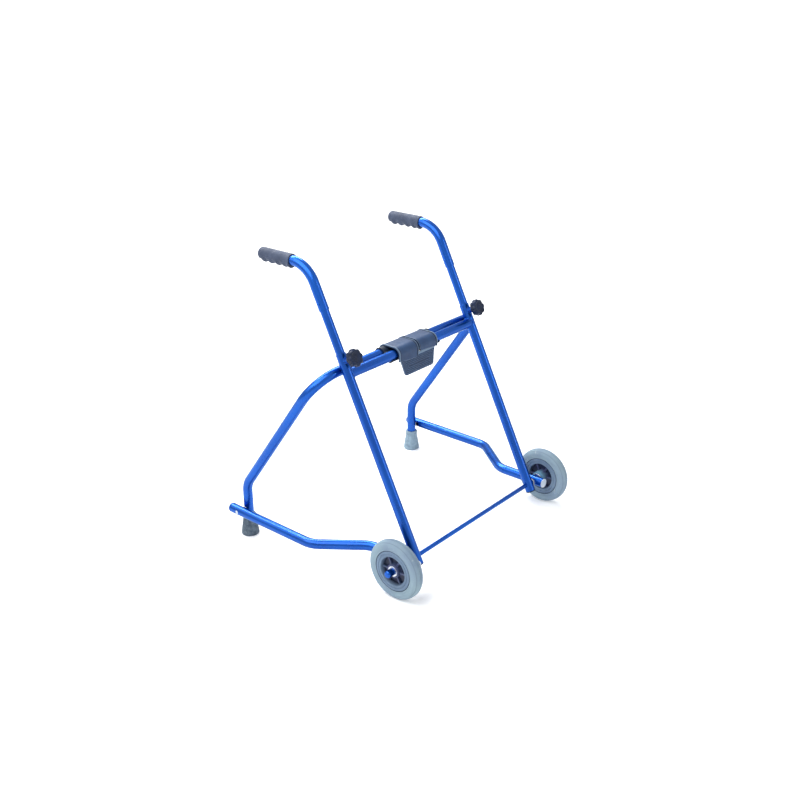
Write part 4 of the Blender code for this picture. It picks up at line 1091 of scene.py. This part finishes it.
FLAP_SETBACK = 0.002
FLAP_OVERLAP = 0.004
FLAP_WALL = 0.003
FLAP_MARGIN = 0.003
FLAP_RIBS_END = 0.026
FLAP_RIB_PITCH = 0.0042
FLAP_RIB_HEIGHT = 0.0008
FLAP_CORNER = 0.006
SLATE = (0.026, 0.059, 0.136, 1.0)
SLATE_SHADE = (0.020, 0.045, 0.109, 1.0)
SLATE_RUBBED = (0.10, 0.13, 0.20, 1.0)
SLATE_PAINTED_HIGHLIGHT = (0.173, 0.252, 0.348, 1.0)
SLATE_PAINTED_SHADE = (0.006, 0.009, 0.020, 1.0)


def slab_mesh(outer, inner, edge, groove):
    """A thin moulding between two grids of points, closed along its four edges.

    The outer grid is marked with how near an edge each point lies, for a painted highlight, and how
    deep in a groove, for painted shade.
    """
    top = np.arange(outer[..., 0].size).reshape(outer.shape[:2])
    under = top + top.size
    faces = [np.stack([sheet[:-1, :-1], sheet[1:, :-1], sheet[1:, 1:], sheet[:-1, 1:]], -1)
             for sheet in (top, under)]
    for at in (0, -1, (slice(None), 0), (slice(None), -1)):
        a, b = top[at], under[at]
        faces.append(np.stack([a[:-1], a[1:], b[1:], b[:-1]], -1))
    faces = np.vstack([face.reshape(-1, 4) for face in faces])
    mesh = outward_mesh(np.vstack([outer.reshape(-1, 3), inner.reshape(-1, 3)]), faces.tolist())
    for name, values, beneath in (("edge", edge, 0.0), ("groove", *groove)):
        mark(mesh, name, np.append(values.ravel(), np.full(top.size, beneath)))
    return mesh


def cover_line():
    """The wrap's section inside: an arc round the rear tube, a flat top, an arc, a skirt.

    Returns its points (y, z) and the outward direction at each.
    """
    down = FRONT_SEAT[1] - (COVER_SKIRT + RIGHT_TAB_DROP) * np.linspace(0, 1, 17)[1:]
    inner, outer = (np.vstack([
        arc(REAR_SEAT, radius, -15, 90, 26), arc(FRONT_SEAT, radius, 90, 180, 22),
        np.stack([np.full(16, FRONT_SEAT[0] - radius), down], axis=1)])
        for radius in (COVER_INNER, COVER_INNER + 1.0))
    return inner, outer - inner


def along(line, values, places):
    """Values given along a line, read at other distances from its start."""
    length = np.append(0, np.cumsum(np.linalg.norm(np.diff(line, axis=0), axis=1)))
    return np.stack([np.interp(places, length, column) for column in values.T], axis=-1)


def rounded(distance, reach):
    """A quarter round: 0 at a distance of zero, rising to 1 at the reach and past it."""
    return np.sqrt(np.clip(1 - (1 - np.clip(distance / reach, 0, 1)) ** 2, 0, 1))


def cover_mesh():
    """The wrap with its lips, its middle band, and the slot between its two rounded tabs.

    Column x of the grid runs down the section to its length less a trim: the slot's depth
    within the slot, then R - sqrt(R^2 - (R - d)^2) at d from it, which rounds the tabs, and
    a share that slants both edges: the right tab hangs lowest beside the slot, the left one
    highest.  The outer grid stands off by the wall and the ridges, less a groove beside each
    ridge and one on the band's middle.
    """
    line, outward = cover_line()
    whole = np.sum(np.linalg.norm(np.diff(line, axis=0), axis=1))
    half = np.unique(np.concatenate([
        np.linspace(0, COVER_HALF, 90)[:-2], COVER_HALF - 0.0003 * np.arange(4),
        (SLOT_HALF - 0.0001, SLOT_HALF + 0.0001)]))
    x = np.concatenate([-half[:0:-1], half])
    off_middle = np.abs(x)
    from_end = COVER_HALF - off_middle
    tab = np.clip(off_middle - SLOT_HALF, 0, TAB_CORNER)
    trim = TAB_CORNER - np.sqrt(TAB_CORNER ** 2 - (TAB_CORNER - tab) ** 2)
    out = off_middle / COVER_HALF
    trim += np.where(x > 0, RIGHT_TAB_DROP + LEFT_TAB_RISE * (1 - out),
                     (RIGHT_TAB_DROP - RIGHT_END_DROP) * out)
    trim = np.where(off_middle < SLOT_HALF, SLOT_DEPTH, trim)
    places = np.linspace(0, 1, COVER_ROWS)[:, None] * (whole - trim)
    ridge, beside = 0, 0
    for place, reach in ((from_end, COVER_LIP), (off_middle, COVER_BAND_HALF)):
        ridge = ridge + step_up(reach - place, RIDGE_SLOPE)
        beside = beside + step_up(GROOVE_HALF - np.abs(place - reach - 0.0010), 0.0010)
    middle = step_up(SLOT_HALF + 0.0004 - off_middle, 0.0005)
    from_edge = np.minimum(places, whole - trim - places)
    stand = (COVER_WALL + COVER_RIDGE * ridge - COVER_GROOVE * beside - BAND_GROOVE * middle
             - COVER_END_DROP * (1 - rounded(from_end, COVER_END_REACH))
             - COVER_EDGE_DROP * (1 - rounded(from_edge, COVER_EDGE_REACH)))
    inner = along(line, line, places)
    outer = inner + along(line, outward, places) * stand[..., None]
    across = np.broadcast_to(x[:, None], outer.shape[:2] + (1,))
    # Painted highlight on the ridges of the lips and band, and along the wrap's edges.
    band_highlight = 1 - step_up(COVER_BAND_HALF - 0.0014 - off_middle, 0.001)
    edge = np.maximum(0.3 * step_up(0.0022 - from_edge, 0.0012),
                      0.60 * ridge * band_highlight)
    # Painted shade: the grooves beside the ridges and the slot's middle.
    deep = np.broadcast_to(np.maximum(beside, middle), edge.shape)
    return slab_mesh(np.concatenate([across, outer], -1), np.concatenate([across, inner], -1),
                     edge * (1 - deep), (deep, 0.6))


def flap_mesh():
    """The flap: a strip that hangs inside the skirt and leans out towards its lower edge.

    Ribs run round it as nested frames: their height is (1 - cos) / 2 of the distance from
    the outline over the pitch.  The sides draw in evenly, and the lower corners are round.
    """
    down = np.linspace(-FLAP_OVERLAP, FLAP_DROP - COVER_SKIRT, 125)[:, None]
    lowest = down[-1, 0]
    past = np.clip(down - (lowest - FLAP_CORNER), 0, FLAP_CORNER)
    half = FLAP_TOP_HALF + (FLAP_FOOT_HALF - FLAP_TOP_HALF) * np.clip(down, 0, None) / lowest
    half += np.sqrt(FLAP_CORNER ** 2 - past ** 2) - FLAP_CORNER
    x = half * np.linspace(-1, 1, 201)
    level = np.broadcast_to(down, x.shape)
    inside = np.minimum(np.minimum(half - np.abs(x), lowest - level), level - 0.001)
    wave = (1 - np.cos(2 * math.pi * (inside - FLAP_MARGIN) / FLAP_RIB_PITCH)) / 2
    ribbed = step_up(inside - FLAP_MARGIN, 0.0004) * step_up(FLAP_RIBS_END - inside, 0.0004)
    lean = FLAP_LEAN_OUT * np.clip(level - RIGHT_TAB_DROP, 0, None) / (lowest - RIGHT_TAB_DROP)
    face = CROSS[1] - (COVER_INNER + COVER_WALL - FLAP_SETBACK) - lean
    z = CROSS[2] - COVER_SKIRT - level
    front = np.stack([x, face - FLAP_RIB_HEIGHT * wave * ribbed, z], axis=-1)
    # Painted highlight along the flap's outline and on the rib crests.
    edge = np.maximum(0.7 * step_up(0.0016 - inside, 0.0010), 0.22 * ribbed * wave ** 4)
    # Painted shade in the troughs between the ribs.
    return slab_mesh(front, np.stack([x, face + FLAP_WALL, z], axis=-1), edge,
                     (0.7 * ribbed * (1 - wave) ** 2, 0.0))


SLATE_PLASTIC = new_finish("slate_moulded_plastic", SLATE, SLATE_SHADE, patch=28.0, smooth=0.36,
                           rough=0.52, grain=1300.0, cells=0.35, bump=0.14, worn=SLATE_RUBBED,
                           worn_from=0.64)
# The slate is lightened on edges and ridges as a painted highlight.
mark_tint(SLATE_PLASTIC, "edge", SLATE_PAINTED_HIGHLIGHT)
# The slate is darkened in its grooves as painted shade.
mark_tint(SLATE_PLASTIC, "groove", SLATE_PAINTED_SHADE)
cover = new_piece("clip_cover_moulding", cover_mesh(), SLATE_PLASTIC)
flap = new_piece("clip_cover_flap", flap_mesh(), SLATE_PLASTIC)
for piece in (cover, flap):
    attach(piece, "cover")
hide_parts("clip_cover")

# Handles: a thin stem that slides in the upright and a bent 25 mm tube riveted over it, both
# painted, with the same lean as the uprights up to the bend.
STEM_RADIUS = 0.011
STEM_WALL = 0.0015
STEM_SPAN = (0.400, 0.656)
HANDLE_BOTTOM = 0.620
HANDLE_STRAIGHT = 0.068
HANDLE_BEND_RADIUS = 0.075
BEND_REACH = HANDLE_BEND_RADIUS * math.tan((math.pi / 2 - LEAN) / 2)
HANDLE_CORNER = HANDLE_BOTTOM + HANDLE_STRAIGHT + BEND_REACH
GRIP_START = BEND_REACH + 0.002
GRIP_LENGTH = 0.106
GRIP_FLOOR = 0.0045
RIVET_AT = HANDLE_BOTTOM + 0.018
RIVET_RADIUS = 0.002
RIVET_HEAD_RADIUS = 0.004

for side_name, side in SIDES:
    x = side * UPRIGHT_X
    corner = leaning(x, HANDLE_CORNER)
    end = corner + BACKWARDS * (GRIP_START + GRIP_LENGTH - GRIP_FLOOR - SEAT_GAP)
    route = bent_route([leaning(x, HANDLE_BOTTOM), corner, end], (HANDLE_BEND_RADIUS,))
    handle = new_piece("handle_bar_" + side_name,
                       closed_mesh(pipe(route, ACROSS, TUBE_RADIUS, TUBE_WALL)), PAINT)
    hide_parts("handle_tube_" + side_name)
    route = np.linspace(*(leaning(x, up) for up in STEM_SPAN), 4)
    stem = new_piece("handle_stem_tube_" + side_name,
                     closed_mesh(pipe(route, ACROSS, STEM_RADIUS, STEM_WALL)), PAINT)
    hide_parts("handle_stem_" + side_name)
    seat = TUBE_RADIUS + SEAT_GAP - 0.0002
    half = np.vstack([dome(RIVET_HEAD_RADIUS, 0.0018, seat, 8), [(RIVET_RADIUS, seat),
                                                                (RIVET_RADIUS, 0.0)]])
    line = np.vstack([half, half[-2::-1] * (1, -1)])
    rivet = new_piece("handle_pin_" + side_name,
                      turned_mesh(line, leaning(x, RIVET_AT), ACROSS, sides=24), PAINT)
    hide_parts("handle_rivet_" + side_name)
    for piece in (handle, stem, rivet):
        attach(piece, "handle_" + side_name)

# Grips: soft slate sleeves pushed over the handle ends, closed behind, with four finger
# waves and a stop underneath, and fine rings round them.
GRIP_RADIUS = 0.0155
GRIP_LIP = 0.0036
GRIP_LIP_END = 0.0075
GRIP_EDGE = 0.006
FINGER_COUNT = 4
FINGER_HEIGHT = 0.0038
FINGER_HOLLOW = 0.0014
SKIN_RING_PITCH = 0.0022
SKIN_RING_DEPTH = 0.00010
GRIP_SIDES = 72
GRIP_SLATE = (0.052, 0.068, 0.112, 1.0)
GRIP_SHADE = (0.036, 0.048, 0.082, 1.0)
GRIP_WORN = (0.12, 0.145, 0.20, 1.0)


def grip_rings(start):
    """Rings about the handle's axis, from the closed rear end over the outside to the socket.

    Underneath, the radius grows by height w - hollow (1 - w), with w the finger wave
    (1 - cos) / 2, times how far the point faces down.  Fine rings add a small sine.
    """
    socket = TUBE_RADIUS + SEAT_GAP
    last = GRIP_LENGTH - GRIP_EDGE
    rear = dome(GRIP_EDGE, GRIP_EDGE, last, 10) + (GRIP_RADIUS - GRIP_EDGE, 0)
    places = np.linspace(last, GRIP_LIP_END, 150)[1:]
    outside = np.stack([np.full(len(places), GRIP_RADIUS), places], axis=1)
    lip = eased([(GRIP_RADIUS, GRIP_LIP_END), (GRIP_RADIUS, 0.0010), (GRIP_RADIUS - 0.0010, 0.0),
                 (socket, 0.0)], 0.0010)[1:]
    inside = [(socket, GRIP_LENGTH - GRIP_FLOOR), (0, GRIP_LENGTH - GRIP_FLOOR)]
    line = np.vstack([[(0, GRIP_LENGTH)], rear, outside, lip, inside])
    counts = (1, len(rear) + len(outside), len(lip) - 1, 3)
    outer = np.repeat((0.0, 1.0, 0.0, 0.0), counts)[:, None]
    front = np.repeat((0.0, 1.0, 1.0, 0.0), counts)[:, None]
    radius, height = line.T[..., None]
    share = np.clip((height - GRIP_LIP_END) / (last - GRIP_LIP_END), 0, 1)
    wave = (1 - np.cos(2 * math.pi * FINGER_COUNT * share)) / 2
    ends = outer * step_up(height - 0.0085, 0.004) * step_up(GRIP_LENGTH - height, GRIP_EDGE)
    bulge = (FINGER_HEIGHT * wave - FINGER_HOLLOW * (1 - wave)) * ends
    bulge = bulge + GRIP_LIP * front * (1 - step_up(height - 0.0055, 0.004))
    fine = SKIN_RING_DEPTH * (1 + np.sin(2 * math.pi * height / SKIN_RING_PITCH)) * ends
    turn = full_turn(GRIP_SIDES)
    under = np.clip(-np.sin(turn), 0, None)
    return start + round_grid(radius + bulge * under - fine, height, turn)


GRIP_RUBBER = new_finish("slate_grip_rubber", GRIP_SLATE, GRIP_SHADE, patch=40.0, smooth=0.55,
                         rough=0.72, grain=1500.0, cells=0.5, bump=0.22, worn=GRIP_WORN,
                         worn_from=0.62)
for side_name, side in SIDES:
    start = leaning(side * UPRIGHT_X, HANDLE_CORNER) + BACKWARDS * GRIP_START
    grip = new_piece("hand_grip_" + side_name, closed_mesh(grip_rings(start), looped=False),
                     GRIP_RUBBER)
    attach(grip, "handle_" + side_name)
    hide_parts("grip_" + side_name)

# Clamp knobs: eight-lobed dark mouldings on plated screws, which hold the stems. The face
# has a shallow dish and a small raised centre.
KNOB_RADIUS = 0.022
KNOB_LOBES = 8
KNOB_LOBE_DEPTH = 0.0024
KNOB_THICKNESS = 0.018
KNOB_SIDES = 192
SCREW_RADIUS = 0.004
SCREW_BORE = SCREW_RADIUS + SEAT_GAP
CLAMP_WASHER_RADIUS = 0.010
KNOB_GREY = (0.004, 0.013, 0.046, 1.0)
KNOB_SHADE = (0.002, 0.007, 0.024, 1.0)
KNOB_WORN = (0.020, 0.045, 0.095, 1.0)
WASHER_BOTTOM = BOSS_END + SEAT_GAP
WASHER_TOP = WASHER_BOTTOM + 0.0015
HUB_BOTTOM = WASHER_TOP + SEAT_GAP
HUB_TOP = HUB_BOTTOM + 0.005
SCREW_TOP = HUB_TOP + 0.014


def knob_rings():
    """Rings about the screw's axis; the radius sinks by depth (1 - cos(lobes a)) / 2.

    The sink is scaled by how near the ring is to the rim, so the hub and the dish stay round.
    """
    top = HUB_TOP + KNOB_THICKNESS
    line = np.vstack([
        [(0, top - 0.0010)],
        eased([(0, top - 0.0010), (0.0055, top - 0.0010), (0.0068, top - 0.0022),
               (0.0120, top - 0.0022), (0.0150, top - 0.0004), (KNOB_RADIUS - 0.0030, top),
               (KNOB_RADIUS, top - 0.0034), (KNOB_RADIUS, HUB_TOP + 0.0030),
               (KNOB_RADIUS - 0.0026, HUB_TOP), (0.0105, HUB_TOP), (0.0095, HUB_BOTTOM),
               (SCREW_BORE, HUB_BOTTOM)], 0.0014)[1:],
        [(SCREW_BORE, SCREW_TOP + SEAT_GAP), (0, SCREW_TOP + SEAT_GAP)]])
    radius, height = line.T[..., None]
    turn = full_turn(KNOB_SIDES)
    sink = KNOB_LOBE_DEPTH * (1 - np.cos(KNOB_LOBES * turn)) / 2
    return round_grid(radius - step_up(radius - 0.0125, 0.006) * sink, height, turn)


KNOB_PLASTIC = new_finish("dark_knob_plastic", KNOB_GREY, KNOB_SHADE, patch=45.0, smooth=0.34,
                          rough=0.50, grain=1400.0, cells=0.35, bump=0.14, worn=KNOB_WORN,
                          worn_from=0.63)
for side_name, side in SIDES:
    centre = leaning(side * UPRIGHT_X, KNOB_AT)
    mesh = ring_mesh(CLAMP_WASHER_RADIUS, SCREW_BORE, WASHER_BOTTOM, WASHER_TOP, centre, FRONT)
    ring = new_piece("clamp_washer_" + side_name, mesh, ZINC)
    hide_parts("knob_washer_" + side_name)
    foot = STEM_RADIUS + SEAT_GAP
    line = eased([(0, SCREW_TOP), (SCREW_RADIUS, SCREW_TOP), (SCREW_RADIUS, foot), (0, foot)],
                 0.0006)
    screw = new_piece("clamp_screw_" + side_name, turned_mesh(line, centre, FRONT, sides=32), ZINC)
    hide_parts("knob_screw_" + side_name)
    knob = new_piece("lobed_knob_" + side_name,
                     closed_mesh(from_boss(knob_rings(), side), looped=False), KNOB_PLASTIC)
    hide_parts("clamp_knob_" + side_name)
    for piece in (ring, screw, knob):
        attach(piece, "knob_" + side_name)
